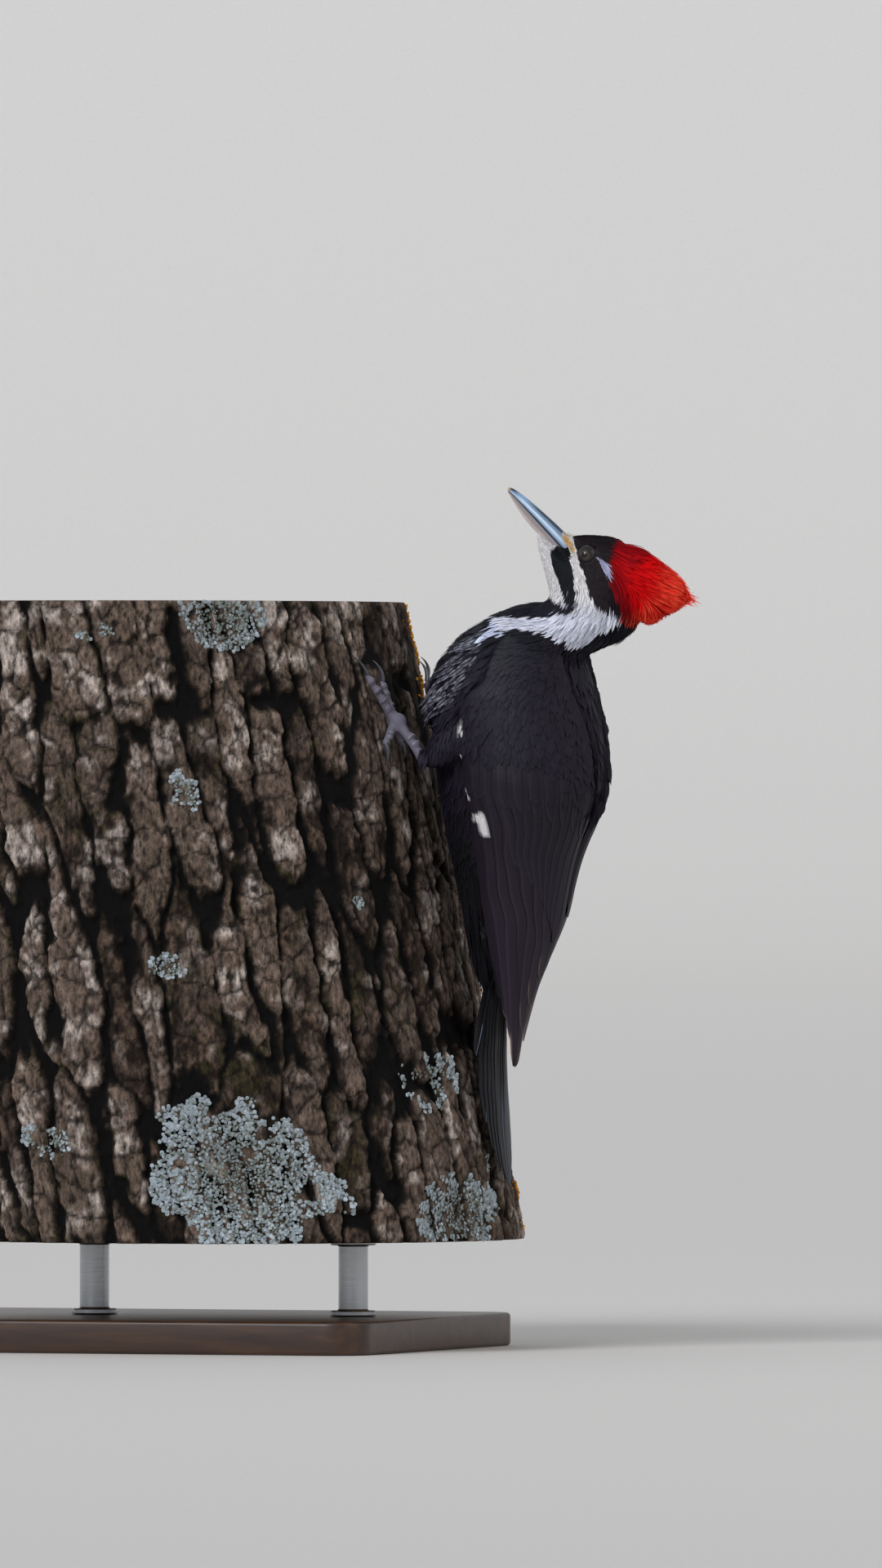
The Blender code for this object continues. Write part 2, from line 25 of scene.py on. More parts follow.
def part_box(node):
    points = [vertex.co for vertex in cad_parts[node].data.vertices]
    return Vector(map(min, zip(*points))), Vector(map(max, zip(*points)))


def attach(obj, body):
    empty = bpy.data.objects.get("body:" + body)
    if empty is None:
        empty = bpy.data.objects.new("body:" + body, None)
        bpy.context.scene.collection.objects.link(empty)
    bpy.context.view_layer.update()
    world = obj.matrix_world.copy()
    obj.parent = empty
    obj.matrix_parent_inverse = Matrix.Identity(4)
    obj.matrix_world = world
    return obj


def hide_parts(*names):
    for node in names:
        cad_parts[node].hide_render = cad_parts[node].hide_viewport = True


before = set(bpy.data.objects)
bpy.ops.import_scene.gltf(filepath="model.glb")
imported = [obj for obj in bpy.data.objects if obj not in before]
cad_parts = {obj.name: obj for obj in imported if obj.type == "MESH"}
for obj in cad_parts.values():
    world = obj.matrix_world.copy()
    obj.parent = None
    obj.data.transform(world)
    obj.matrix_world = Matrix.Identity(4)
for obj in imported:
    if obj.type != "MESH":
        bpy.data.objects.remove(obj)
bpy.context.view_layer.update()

LOG = logging.getLogger("woodpecker")
Array = np.ndarray
Colour = tuple[float, float, float]
BMesh = bmesh.types.BMesh
Material = bpy.types.Material
Mesh = bpy.types.Mesh
Node = bpy.types.Node
Socket = bpy.types.NodeSocket
Tree = bpy.types.NodeTree

MM = 0.001
ACROSS = np.array((0.0, 1.0, 0.0))
COLOUR_LAYER = "Plumage"
BAKE_LAYER = "OFBake"
VANE_LAYER = "Vane"
TUFT_PATCH = 0.003
MOST_TRIANGLES = 195_000
LOG_LEAN = math.radians(11.4)


def linear(code: str) -> Colour:
    """Turns an sRGB hex colour into linear values.

    Args:
        code: The colour as #rrggbb.

    Returns:
        Red, green and blue from 0 to 1, linear.
    """
    channels = [int(code[start:start + 2], 16) / 255 for start in (1, 3, 5)]
    return tuple(c / 12.92 if c <= 0.04045 else ((c + 0.055) / 1.055) ** 2.4 for c in channels)


def rgb(code: str) -> Array:
    """An sRGB hex colour as an array of linear values."""
    return np.array(linear(code))


def blend(first: Array, second: Array, share: Array) -> Array:
    """Mixes from the first value, at a share of 0, to the second, at 1."""
    return first * (1 - share) + second * share


def bell(middle: float, width: float, value: Array) -> Array:
    """Rises to 1 at the middle and falls off on both sides."""
    return np.exp(-(((value - middle) / width) ** 2))


def unit(vectors: Array) -> Array:
    """Scales vectors, one in each row, to length 1."""
    return vectors / np.maximum(np.linalg.norm(vectors, axis=-1, keepdims=True), 1e-12)


def ease(low: float, high: float, value: Array) -> Array:
    """Rises smoothly from 0 at low to 1 at high."""
    share = np.clip((value - low) / (high - low), 0.0, 1.0)
    return share * share * (3 - 2 * share)


def dot(first: Array, second: Array) -> Array:
    """The dot product of matching rows."""
    return np.sum(first * second, axis=-1)


def flatten(vectors: Array, normals: Array) -> Array:
    """Lays vectors into the planes square to the normals, at length 1."""
    return unit(vectors - normals * dot(vectors, normals)[..., None])


def box_centre(node: str) -> Array:
    """The middle of a node's box."""
    low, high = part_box(node)
    return np.array((low + high) / 2)


def solid(node: str) -> Mesh:
    """The mesh of a node's solid."""
    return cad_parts[node].data


def coordinates(points: Iterable) -> Array:
    """The places of a mesh's or a bmesh's points."""
    return np.array([point.co for point in points])


def read_values(items: Sequence, key: str, width: int = 1, kind: type = float) -> Array:
    """Reads one property of every point, edge or face of a mesh.

    Args:
        items: The points, edges or faces.
        key: The property.
        width: How many numbers each has.
        kind: Their type.

    Returns:
        The numbers, in rows where each item has more than one.
    """
    values = np.empty(len(items) * width, kind)
    items.foreach_get(key, values)
    return values.reshape(-1, width) if width > 1 else values


def move_points(mesh: Mesh, points: Array) -> None:
    """Gives the points of a mesh new places."""
    mesh.vertices.foreach_set("co", points.ravel())
    mesh.update()


class Grain:
    """Smooth random values over space, the same on every run."""

    def __init__(self, seed: int) -> None:
        """Fills the lattice from a seed.

        Args:
            seed: The seed.
        """
        draw = np.random.default_rng(seed)
        self.values = draw.uniform(-1.0, 1.0, 4096)
        self.order = draw.permutation(4096)

    def at(self, points: Array, size: float) -> Array:
        """Reads one layer of grain.

        Args:
            points: Places, one in each row.
            size: The width of one lump, in the units of the points.

        Returns:
            Values from about -1 to 1.
        """
        place = points / size
        cell = np.floor(place).astype(np.int64)
        share = place - cell
        share = share * share * (3 - 2 * share)
        total = np.zeros(len(points))
        for corner in np.ndindex(2, 2, 2):
            key = self.order[(cell[:, 0] + corner[0]) & 4095]
            key = self.order[(key + cell[:, 1] + corner[1]) & 4095]
            key = self.order[(key + cell[:, 2] + corner[2]) & 4095]
            weight = np.prod(np.where(corner, share, 1 - share), axis=1)
            total += weight * self.values[key]
        return total

    def layered(self, points: Array, size: float, layers: int = 3) -> Array:
        """Adds finer and finer layers of grain, each half as strong.

        Args:
            points: Places, one in each row.
            size: The width of the largest lumps.
            layers: How many layers to add.

        Returns:
            Values from about -1 to 1.
        """
        total = sum(self.at(points + 7.3 * size * n, size / 2**n) / 2**n for n in range(layers))
        return total / (2 - 0.5 ** (layers - 1))


# ---------------------------------------------------------------- nodes and pieces


def add_node(
    tree: Tree,
    kind: str,
    values: dict | None = None,
    links: dict | None = None,
    **settings: object,
) -> Node:
    """Adds a node with its settings, its input values and its links.

    Args:
        tree: The material's node tree.
        kind: The node's type, without the leading ShaderNode.
        values: Input values by name or number.
        links: Sockets by the name or number of the input that they feed.
        **settings: The node's own properties.

    Returns:
        The new node.
    """
    node = tree.nodes.new(f"ShaderNode{kind}")
    for name, value in settings.items():
        setattr(node, name, value)
    for name, value in (values or {}).items():
        node.inputs[name].default_value = value
    for name, socket in (links or {}).items():
        tree.links.new(socket, node.inputs[name])
    return node


def start_material(name: str, **values: float | Sequence[float]) -> tuple:
    """Makes a material with a Principled shader.

    Args:
        name: The material's name.
        **values: The shader's constant inputs, with _ for a space.

    Returns:
        The material, its node tree and its shader.
    """
    material = bpy.data.materials.new(name)
    material.use_nodes = True
    tree = material.node_tree
    shader = tree.nodes["Principled BSDF"]
    for key, value in values.items():
        if isinstance(value, tuple) and len(value) == 3:
            value = (*value, 1.0)
        shader.inputs[key.replace("_", " ")].default_value = value
    return material, tree, shader


def ramp(tree: Tree, shader: Node, source: Socket, stops: Sequence[tuple]) -> None:
    """Colours the surface with a pattern.

    Args:
        tree: The material's node tree.
        shader: Its shader.
        source: The pattern's value.
        stops: Pairs of a place from 0 to 1 and an sRGB hex colour.
    """
    node = add_node(tree, "ValToRGB", links={"Fac": source})
    elements = node.color_ramp.elements
    while len(elements) < len(stops):
        elements.new(0.5)
    for element, (place, code) in zip(elements, stops):
        element.position = place
        element.color = (*linear(code), 1.0)
    tree.links.new(node.outputs["Color"], shader.inputs["Base Color"])


def object_place(tree: Tree) -> Socket:
    """The place on the piece, in metres."""
    return add_node(tree, "TexCoord").outputs["Object"]


def map_place(tree: Tree, layer: str) -> Socket:
    """The place on one of the piece's maps."""
    return add_node(tree, "UVMap", uv_map=layer).outputs["UV"]


def painted(tree: Tree) -> Socket:
    """The colours stored on the piece's points."""
    node = add_node(tree, "Attribute", attribute_type="GEOMETRY", attribute_name=COLOUR_LAYER)
    return node.outputs["Color"]


def noise(tree: Tree, place: Socket, scale: float, stretch: Sequence[float] = (), **values: float) -> Socket:
    """Adds a noise pattern.

    Args:
        tree: The material's node tree.
        place: The socket with the place.
        scale: How fine the pattern is.
        stretch: Factors of the place along each axis.
        **values: The pattern's other inputs.

    Returns:
        The socket with the pattern's value.
    """
    if stretch:
        place = add_node(tree, "Mapping", {"Scale": stretch}, {"Vector": place}).outputs["Vector"]
    return add_node(tree, "TexNoise", {"Scale": scale, **values}, {"Vector": place}).outputs["Fac"]


def vary_paint(tree: Tree, shader: Node, source: Socket, spread: tuple[float, float, float, float]) -> None:
    """Lightens and darkens the painted colour with a pattern.

    Args:
        tree: The material's node tree.
        shader: Its shader.
        source: The pattern's value.
        spread: The ends of the pattern's range, and the factors of the colour there.
    """
    ends = dict(zip(("From Min", "From Max", "To Min", "To Max"), spread))
    shade = add_node(tree, "MapRange", ends, {"Value": source}).outputs["Result"]
    product = add_node(tree, "VectorMath", links={0: painted(tree), 1: shade}, operation="MULTIPLY")
    tree.links.new(product.outputs["Vector"], shader.inputs["Base Color"])


def relief(tree: Tree, shader: Node, source: Socket, strength: float, depth: float) -> None:
    """Raises the surface with a pattern."""
    bump = add_node(tree, "Bump", {"Strength": strength, "Distance": depth}, {"Height": source})
    tree.links.new(bump.outputs["Normal"], shader.inputs["Normal"])


def show(name: str, data: bpy.types.ID) -> bpy.types.Object:
    """Puts a mesh, a light or a camera into the scene.

    Args:
        name: Its name.
        data: The mesh, light or camera.

    Returns:
        Its object.
    """
    obj = bpy.data.objects.new(name, data)
    bpy.context.scene.collection.objects.link(obj)
    return obj


def add_piece(name: str, mesh: Mesh, material: Material, replaced: Sequence[str] = ()) -> None:
    """Puts a finished mesh into the scene as a piece of the model.

    Args:
        name: The piece's name.
        mesh: Its mesh, in place.
        material: Its finish.
        replaced: The solids that it stands for.
    """
    obj = show(name, mesh)
    mesh.materials.clear()
    mesh.materials.append(material)
    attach(obj, "root")
    if replaced:
        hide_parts(*replaced)
    mesh.calc_loop_triangles()
    LOG.info("%s: %d triangles", name, len(mesh.loop_triangles))


def mesh_from(name: str, bm: BMesh, sharp_degrees: float = 50.0) -> Mesh:
    """Turns a bmesh into a smooth-shaded mesh and frees it.

    Args:
        name: The mesh's name.
        bm: The bmesh.
        sharp_degrees: Edges that bend more than this stay sharp.

    Returns:
        The mesh.
    """
    bmesh.ops.recalc_face_normals(bm, faces=bm.faces)
    mesh = bpy.data.meshes.new(name)
    bm.to_mesh(mesh)
    bm.free()
    mesh.shade_smooth()
    mesh.set_sharp_from_angle(angle=math.radians(sharp_degrees))
    return mesh


def arrays_of(bm: BMesh) -> tuple[Array, Array]:
    """Reads a bmesh as points and triangles, and frees it.

    Args:
        bm: The bmesh.

    Returns:
        Its points, and the indices of its triangles.
    """
    bmesh.ops.recalc_face_normals(bm, faces=bm.faces)
    bmesh.ops.triangulate(bm, faces=bm.faces)
    bm.verts.index_update()
    points = coordinates(bm.verts)
    faces = np.array([[vertex.index for vertex in face.verts] for face in bm.faces])
    bm.free()
    return points, faces


def joined_mesh(name: str, points: Array, faces: Array, colours: Array, sharp_degrees: float = 55) -> Mesh:
    """Makes one mesh from many copies of a shape.

    Args:
        name: The mesh's name.
        points: Points by copy and by point of the shape.
        faces: The shape's triangles.
        colours: Linear colours by copy and by point.
        sharp_degrees: Edges that bend more than this stay sharp.

    Returns:
        The mesh, with its colours in the plumage layer.
    """
    copies, count = points.shape[:2]
    every = (np.arange(copies)[:, None, None] * count + faces[None]).reshape(-1, 3)
    mesh = bpy.data.meshes.new(name)
    mesh.from_pydata(points.reshape(-1, 3), [], every)
    paint(mesh, colours.reshape(-1, 3))
    mesh.shade_smooth()
    mesh.set_sharp_from_angle(angle=math.radians(sharp_degrees))
    return mesh


def paint(mesh: Mesh, colours: Array) -> None:
    """Stores one linear colour for each point of a mesh.

    Args:
        mesh: The mesh.
        colours: A colour for each of its points.
    """
    layer = mesh.color_attributes.new(COLOUR_LAYER, "FLOAT_COLOR", "POINT")
    whole = np.ones((len(mesh.vertices), 4), np.float32)
    whole[:, :3] = colours
    layer.data.foreach_set("color", whole.ravel())


def map_corners(mesh: Mesh, name: str, places: Array) -> None:
    """Stores one map place for each face corner of a mesh."""
    layer = mesh.uv_layers.new(name=name)
    layer.data.foreach_set("uv", places.astype(np.float32).ravel())


def map_points(mesh: Mesh, name: str, places: Array) -> None:
    """Stores a map whose places belong to the points of a mesh."""
    corners = read_values(mesh.loops, "vertex_index", kind=np.int32)
    map_corners(mesh, name, places.reshape(-1, 2)[corners])


def plate_model(columns: int, rows: int) -> tuple[Array, Array]:
    """A closed flat plate as across (-1 to 1), along (0 to 1) and layer (0 or -1), and its triangles.

    Args:
        columns: Faces across.
        rows: Faces along.

    Returns:
        The plate's points and its triangles.
    """
    bm = bmesh.new()
    bmesh.ops.create_grid(bm, x_segments=columns, y_segments=rows, size=1.0)
    bmesh.ops.solidify(bm, geom=list(bm.faces), thickness=0.01)
    points, faces = arrays_of(bm)
    layer = np.where(points[:, 2] > points[:, 2].mean(), 0.0, -1.0)
    across = np.clip(points[:, 0], -1, 1)
    along = np.clip(points[:, 1] * 0.5 + 0.5, 0, 1)
    return np.stack((across, along, layer), axis=1), faces


def cut_rod(sides: int, cuts: Iterable[float], turn: float = 0.0) -> BMesh:
    """A closed rod of radius 1 that stands from 0 to 1, cut across at some heights.

    Args:
        sides: How many sides it has.
        cuts: The heights.
        turn: How far it is turned.

    Returns:
        The bmesh.
    """
    bm = bmesh.new()
    place = Matrix.Translation((0, 0, 0.5)) @ Matrix.Rotation(turn, 4, "Z")
    bmesh.ops.create_cone(bm, cap_ends=True, segments=sides, radius1=1, radius2=1, depth=1, matrix=place)
    for height in cuts:
        geometry = [*bm.verts, *bm.edges, *bm.faces]
        bmesh.ops.bisect_plane(bm, geom=geometry, dist=1e-6, plane_co=(0, 0, height), plane_no=(0, 0, 1))
    return bm


def add_ring(bm: BMesh, points: Array) -> list:
    """Adds one closed ring through points and returns its edges.

    Args:
        bm: The bmesh.
        points: The ring's points in order.

    Returns:
        The ring's edges.
    """
    circle = bmesh.ops.create_circle(bm, segments=len(points), radius=1.0)
    for vertex, point in zip(circle["verts"], points):
        vertex.co = point
    return list({edge for vertex in circle["verts"] for edge in vertex.link_edges})


def loft(rings: Iterable[Array]) -> BMesh:
    """Bridges rings of points one after another and closes both ends.

    Args:
        rings: The rings in order.

    Returns:
        The closed shell.
    """
    bm = bmesh.new()
    edges = [add_ring(bm, points) for points in rings]
    for lower, upper in zip(edges, edges[1:]):
        bmesh.ops.bridge_loops(bm, edges=lower + upper)
    bmesh.ops.contextual_create(bm, geom=edges[0])
    bmesh.ops.contextual_create(bm, geom=edges[-1])
    bmesh.ops.recalc_face_normals(bm, faces=bm.faces)
    return bm


# ---------------------------------------------------------------- finishes


@dataclass(frozen=True)
class FeatherFinish:
    """Keratin vanes: matt, with fine barbs along each feather and a faint sheen at grazing light."""

    name: str
    roughness: float = 0.62
    gloss: float = 0.18
    sheen: float = 0.04
    sheen_colour: str = "#8a93b5"
    barb_width_mm: float = 0.35
    barb_length_mm: float = 6.0
    contrast: float = 0.35
    bump: float = 0.25

    def make(self) -> Material:
        """Builds the material. The barbs are drawn about three times as wide as real ones, to show.

        Returns:
            The material.
        """
        material, tree, shader = start_material(
            self.name,
            Roughness=self.roughness,
            IOR=1.54,
            Specular_IOR_Level=self.gloss,
            Sheen_Weight=self.sheen,
            Sheen_Roughness=0.4,
            Sheen_Tint=linear(self.sheen_colour),
        )
        stretch = (1 / self.barb_width_mm, 1 / self.barb_length_mm, 1.0)
        barbs = noise(tree, map_place(tree, VANE_LAYER), 1.0, stretch, Detail=3.0, Roughness=0.6)
        vary_paint(tree, shader, barbs, (0.3, 0.7, 1 - self.contrast, 1 + self.contrast))
        relief(tree, shader, barbs, self.bump, 0.15 * MM)
        return material


@dataclass(frozen=True)
class SkinFinish:
    """Skin under the coat, in the coat's own colours, and bare scaly skin on the feet."""

    name: str = "feathered_skin"

    def make(self) -> Material:
        """Builds the material, with a pebbled bump 0.4 mm across.

        Returns:
            The material.
        """
        material, tree, shader = start_material(self.name, Roughness=0.6, IOR=1.45, Specular_IOR_Level=0.3)
        pebble = add_node(tree, "TexVoronoi", {"Scale": 1 / (0.4 * MM)}, {"Vector": object_place(tree)})
        tree.links.new(painted(tree), shader.inputs["Base Color"])
        relief(tree, shader, pebble.outputs["Distance"], 0.35, 0.1 * MM)
        return material


@dataclass(frozen=True)
class HornFinish:
    """Keratin of bill, claws and foot scales: semi-gloss, with growth streaks along the piece."""

    name: str
    roughness: float = 0.32
    coat: float = 0.25
    streak_mm: float = 0.5
    contrast: float = 0.18

    def make(self) -> Material:
        """Builds the material.

        Returns:
            The material.
        """
        material, tree, shader = start_material(
            self.name, Roughness=self.roughness, IOR=1.54, Coat_Weight=self.coat, Coat_Roughness=0.15
        )
        streaks = noise(tree, object_place(tree), 1 / (self.streak_mm * MM), Detail=4.0, Roughness=0.55)
        vary_paint(tree, shader, streaks, (0.3, 0.7, 1 - self.contrast, 1 + self.contrast))
        relief(tree, shader, streaks, 0.2, 0.05 * MM)
        return material


# ---------------------------------------------------------------- the bird's own frame and markings


class Tone(Enum):
    """Colours of the plumage and bare parts."""

    BLACK = "#1b1622"
    CROWN = "#1d151a"
    MALAR = "#0d1216"
    NAPE = "#13141c"
    BREAST = "#15161f"
    # Darker black for the lower body: painted shade where the underside lies close to the trunk.
    BELLY = "#0e0c10"
    WING = "#19141d"
    PRIMARY = "#1f1822"
    # Darker than the body's black: painted shade on the tail, which lies between the trunk and the wing.
    TAIL = "#0b0b10"
    WHITE = "#dcd9d8"
    # Bluish grey white: painted shade on the white of the lower neck and the shoulder stripe.
    SHADED_WHITE = "#c3cbe2"
    GREY_WHITE = "#b4b6c6"
    # Lilac grey: painted shade on the white streak behind the eye.
    SHADED_LILAC = "#a3a5c0"
    BUFF = "#d9ae66"
    BUFF_RIM = "#c7a890"
    RED = "#bd0206"
    # Dark red: painted shade at the crest's front edge and in a crease across it.
    SHADED_RED = "#69040e"
    # Salmon red: painted backlight glowing through the tips at the crest's rear and lower edge.
    BACKLIT_RED = "#ff5c40"
    EYE_SKIN = "#2d2a31"
    FOOT = "#6b6774"

    @property
    def rgb(self) -> Array:
        """The colour as linear values."""
        return rgb(self.value)


class Body:
    """Where the bird's parts lie, read from the solids, and the frame of its head."""

    bill_pitch = math.radians(42.3)
    brow_offset_mm = (0.3, 0.0, 1.6)
    crest_tip_level = 0.36
    underside_pitch = math.radians(30)

    def __init__(self) -> None:
        """Reads the eye, the bill and the middle line of the body."""
        self.eye = box_centre("eye_left") * (1, 0, 1)
        self.eye_side = -box_centre("eye_left")[1]
        self.brow = self.eye + np.array(self.brow_offset_mm) * MM
        low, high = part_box("eye_left")
        self.eye_radius = (high.z - low.z) / 2
        self.forward = np.array((-math.cos(self.bill_pitch), 0.0, math.sin(self.bill_pitch)))
        self.upward = np.array((math.sin(self.bill_pitch), 0.0, math.cos(self.bill_pitch)))
        low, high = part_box("crest")
        self.crest_source = self.eye + (4 * self.forward + 6 * self.upward) * MM
        self.crest_tip = np.array((high.x, 0.0, low.z + self.crest_tip_level * (high.z - low.z)))
        self.crest_run = unit(self.crest_tip - box_centre("head") * (1, 0, 1))
        pitch = self.underside_pitch
        self.crest_underside = np.array((-math.sin(pitch), 0.0, math.cos(pitch)))
        self.spine = self.middle_line()

    def middle_line(self) -> Array:
        """The body's middle line, from the bill's root to the end of the tail coverts.

        Returns:
            Points in the middle plane.
        """
        bill_low, bill_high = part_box("bill_upper")
        head = box_centre("head")
        neck = box_centre("neck")
        back_low, back_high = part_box("back")
        breast_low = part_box("breast")[0]
        rump_low, rump_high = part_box("rump")
        middle = (breast_low.x + back_high.x) / 2
        chest = back_high.z - 0.35 * (back_high.z - back_low.z)
        places = [
            (bill_high.x - 0.006, bill_low.z + 0.001),
            (head[0] - 0.006, head[2] + 0.007),
            (head[0] + 0.002, head[2] - 0.008),
            (neck[0] + 0.004, neck[2] + 0.004),
            (neck[0] - 0.014, neck[2] - 0.010),
            (middle + 0.003, chest + 0.020),
            (middle - 0.001, chest),
            (middle + 0.004, back_low.z),
            (middle + 0.002, (rump_low.z + rump_high.z) / 2 + 0.012),
            (middle - 0.004, rump_low.z + 0.030),
            (middle - 0.009, rump_low.z),
        ]
        return np.array([(x, 0.0, z) for x, z in places])

    def head_place(self, points: Array) -> tuple[Array, Array]:
        """Millimetres ahead of the brow along the bill, and above it."""
        away = (points - self.brow) / MM
        return away @ self.forward, away @ self.upward

    def heading(self, points: Array, normals: Array) -> Array:
        """Which way the feathers lie.

        Args:
            points: Places on the skin.
            normals: The skin's normals there.

        Returns:
            Unit vectors along the skin, from root to tip.
        """
        steps = np.diff(self.spine, axis=0)
        middles = (self.spine[1:] + self.spine[:-1]) / 2
        gap = np.linalg.norm(points[:, None] * (1, 0.35, 1) - middles[None], axis=2)
        weight = 1 / (gap + 0.004) ** 4
        along = unit(weight @ unit(steps))
        ahead, above = self.head_place(points)
        to_crest = unit(unit((points - self.crest_source) * (1, 0.5, 1)) * 0.9 + self.crest_run)
        crest_share = ease(-3.0, 7.0, above) * ease(9.0, -2.0, ahead) * ease(0.385, 0.398, points[:, 2])
        cheek = unit(-0.93 * self.forward - 0.36 * self.upward)
        cheek_share = ease(-26.0, -10.0, above) * ease(-34.0, -14.0, ahead) * (1 - crest_share)
        mixed = along * (1 - crest_share - cheek_share)[:, None]
        mixed += to_crest * crest_share[:, None] + cheek * cheek_share[:, None]
        return flatten(mixed, normals)


@dataclass(frozen=True)
class Stroke:
    """A mark drawn along a line, with a half width at each of its points, all in millimetres."""

    places: tuple[tuple[float, float, float], ...]

    def depth(self, first: Array, second: Array) -> Array:
        """How far inside the mark a place is, in millimetres, or outside it when negative.

        Args:
            first: The places' first measure, such as millimetres ahead.
            second: Their second measure, such as millimetres above.

        Returns:
            The depth at each place.
        """
        best = np.full(len(first), -1e9)
        for (a1, b1, w1), (a2, b2, w2) in zip(self.places, self.places[1:]):
            run = np.array((a2 - a1, b2 - b1))
            share = np.clip(((first - a1) * run[0] + (second - b1) * run[1]) / max(run @ run, 1e-9), 0, 1)
            gap = np.hypot(first - a1 - share * run[0], second - b1 - share * run[1])
            best = np.maximum(best, w1 + (w2 - w1) * share - gap)
        return best


class Marks:
    """The markings of an adult female, the same for the skin and for every feather."""

    # Ahead of the brow and above it. Curves that run up the head give above first.
    mask_edge = ((-45, -14.3), (-38.7, -16.2), (-33.2, -16.6), (-28.6, -17.2), (-22.1, -17.2),
                 (-17.0, -14.0), (-9.4, -9.3), (-2.8, -7.6), (2.8, -4.3), (10.1, -1.5), (16.0, 1.0))
    red_edge = ((-12.5, -37.0), (-8.9, -30.0), (-5.4, -24.4), (0.1, -19.0), (3.8, -14.4), (8.4, -11.2),
                (12.6, -7.4), (16.5, -2.8))
    nape_edge = ((-48.0, -27.0), (-42.0, -31.5), (-36.3, -32.8), (-30.0, -34.6), (-23.8, -36.8),
                 (-19.1, -38.4), (-14.3, -41.0))
    bill_line = ((-13.3, 24.0), (-12.4, 19.0), (-10.5, 17.0), (-8.9, 13.4), (-7.9, 12.0), (-7.0, 13.0),
                 (-6.0, 15.0), (-5.0, 17.5), (-3.4, 18.5))
    malar = Stroke(((14.6, -10.3, 3.0), (11.8, -11.6, 4.8), (6.0, -14.4, 5.6), (0.9, -16.7, 5.6),
                    (-5.8, -20.8, 4.4), (-12.6, -25.2, 3.2), (-16.0, -27.4, 2.2)))
    behind_eye = Stroke(((-7.0, 2.4, 0.45), (-10.0, 2.0, 0.6), (-13.0, 2.2, 1.4), (-17.2, 1.0, 2.1),
                         (-21.0, -0.8, 1.6)))
    nasal_tuft = Stroke(((14.2, -4.9, 0.8), (10.8, -4.8, 1.5), (6.8, -4.8, 1.4)))
    # Behind the brow and below it.
    band_lower = ((-56.0, 36.5), (-51.5, 39.0), (-48.7, 43.6), (-43.4, 42.7), (-34.0, 42.3), (-25.5, 44.0),
                  (-17.5, 46.7), (-12.5, 49.8), (-8.5, 52.0), (-2.0, 52.4))
    band_upper = ((-54.5, 36.1), (-32.4, 36.6), (-23.3, 36.1), (-15.1, 35.7), (-5.3, 33.5))
    throat_end = ((-40.0, 14.8), (-20.9, 25.1), (-5.3, 33.5))
    flank_streaks = Stroke(((-50.5, 41.5, 1.8), (-53.5, 46.5, 4.5), (-58.5, 54.5, 7.5), (-65.0, 65.0, 10.0),
                            (-74.5, 73.5, 9.0), (-85.0, 78.0, 6.0)))
    shoulder_white = Stroke(((-49.5, 41.0, 1.9), (-53.5, 46.0, 2.3), (-58.0, 52.0, 1.8)))
    wing_flecks = (
        Stroke(((-62.6, 91.4, 0.4), (-61.6, 99.4, 0.8))),
        Stroke(((-62.6, 109.4, 0.5), (-62.5, 113.4, 0.6))),
        Stroke(((-60.6, 127.4, 0.6), (-59.4, 132.8, 0.9))),
        Stroke(((-54.6, 143.6, 2.2), (-50.6, 143.8, 2.6), (-49.4, 151.2, 1.9))),
    )
    wing_side = 22.0

    def __init__(self, body: Body) -> None:
        """Keeps the bird's frame and the grain that roughens the edges of the marks."""
        self.body = body
        self.grain = Grain(11)

    def along(self, curve: tuple, value: Array) -> Array:
        """Reads a curve given as pairs."""
        return np.interp(value, [pair[0] for pair in curve], [pair[1] for pair in curve])

    def streaked(self, points: Array) -> Array:
        """How strongly the barred flank shows, from 0 to 1.

        Args:
            points: Places on the skin.

        Returns:
            A share for each place.
        """
        behind = (points[:, 0] - self.body.brow[0]) / MM
        below = (self.body.brow[2] - points[:, 2]) / MM
        side = np.abs(points[:, 1]) / MM
        return ease(-1.5, 1.5, self.flank_streaks.depth(behind, below)) * ease(9.0, 15.0, side)

    def colours(self, points: Array) -> Array:
        """The plumage's colour.

        Args:
            points: Places on the bird.

        Returns:
            A linear colour for each.
        """
        rough = self.grain.at(points, 1.3 * MM) * 0.55 + self.grain.at(points, 4.0 * MM) * 0.5
        ahead, above = self.body.head_place(points)
        ahead = ahead + rough * 0.6
        above = above + rough * 0.6
        behind = (points[:, 0] - self.body.brow[0]) / MM
        below = (self.body.brow[2] - points[:, 2]) / MM + rough * 0.8
        side = np.abs(points[:, 1]) / MM

        result = np.tile(Tone.BLACK.rgb, (len(points), 1))
        # Painted shade: the plumage darkens to the belly tone towards the bottom.
        lower = ease(0.32, 0.26, points[:, 2])[:, None]
        result = blend(result, Tone.BELLY.rgb, lower)
        breast = (below > 20) & (below < 60) & (behind < -20)
        result[breast] = Tone.BREAST.rgb

        head = below < self.along(self.band_lower, behind)
        white = head & (behind > -62)
        white &= ahead > self.along(self.nape_edge, above)
        strip = (below > self.along(self.throat_end, behind)) & (below < self.along(self.band_upper, behind))
        white &= ~strip
        result[white] = Tone.WHITE.rgb
        # Painted shade: the neck's white turns bluish grey further down, as if lying in shade.
        neck = (ease(22.0, 40.0, below) * 0.6)[:, None]
        result = np.where(white[:, None], blend(result, Tone.SHADED_WHITE.rgb, neck), result)
        # Painted shade: the shoulder's white stripe takes the shaded bluish white.
        shoulder = (self.shoulder_white.depth(behind, below) > 0) & (side > 12)
        result[shoulder] = Tone.SHADED_WHITE.rgb
        nape = head & (ahead <= self.along(self.nape_edge, above))
        result[nape] = Tone.NAPE.rgb
        result[white & (self.malar.depth(ahead, above) > 0)] = Tone.MALAR.rgb
        mottled = white & (self.malar.depth(ahead, above) > -3.0) & (ahead < -8) & (rough > 0.25)
        result[mottled] = Tone.GREY_WHITE.rgb * 0.4

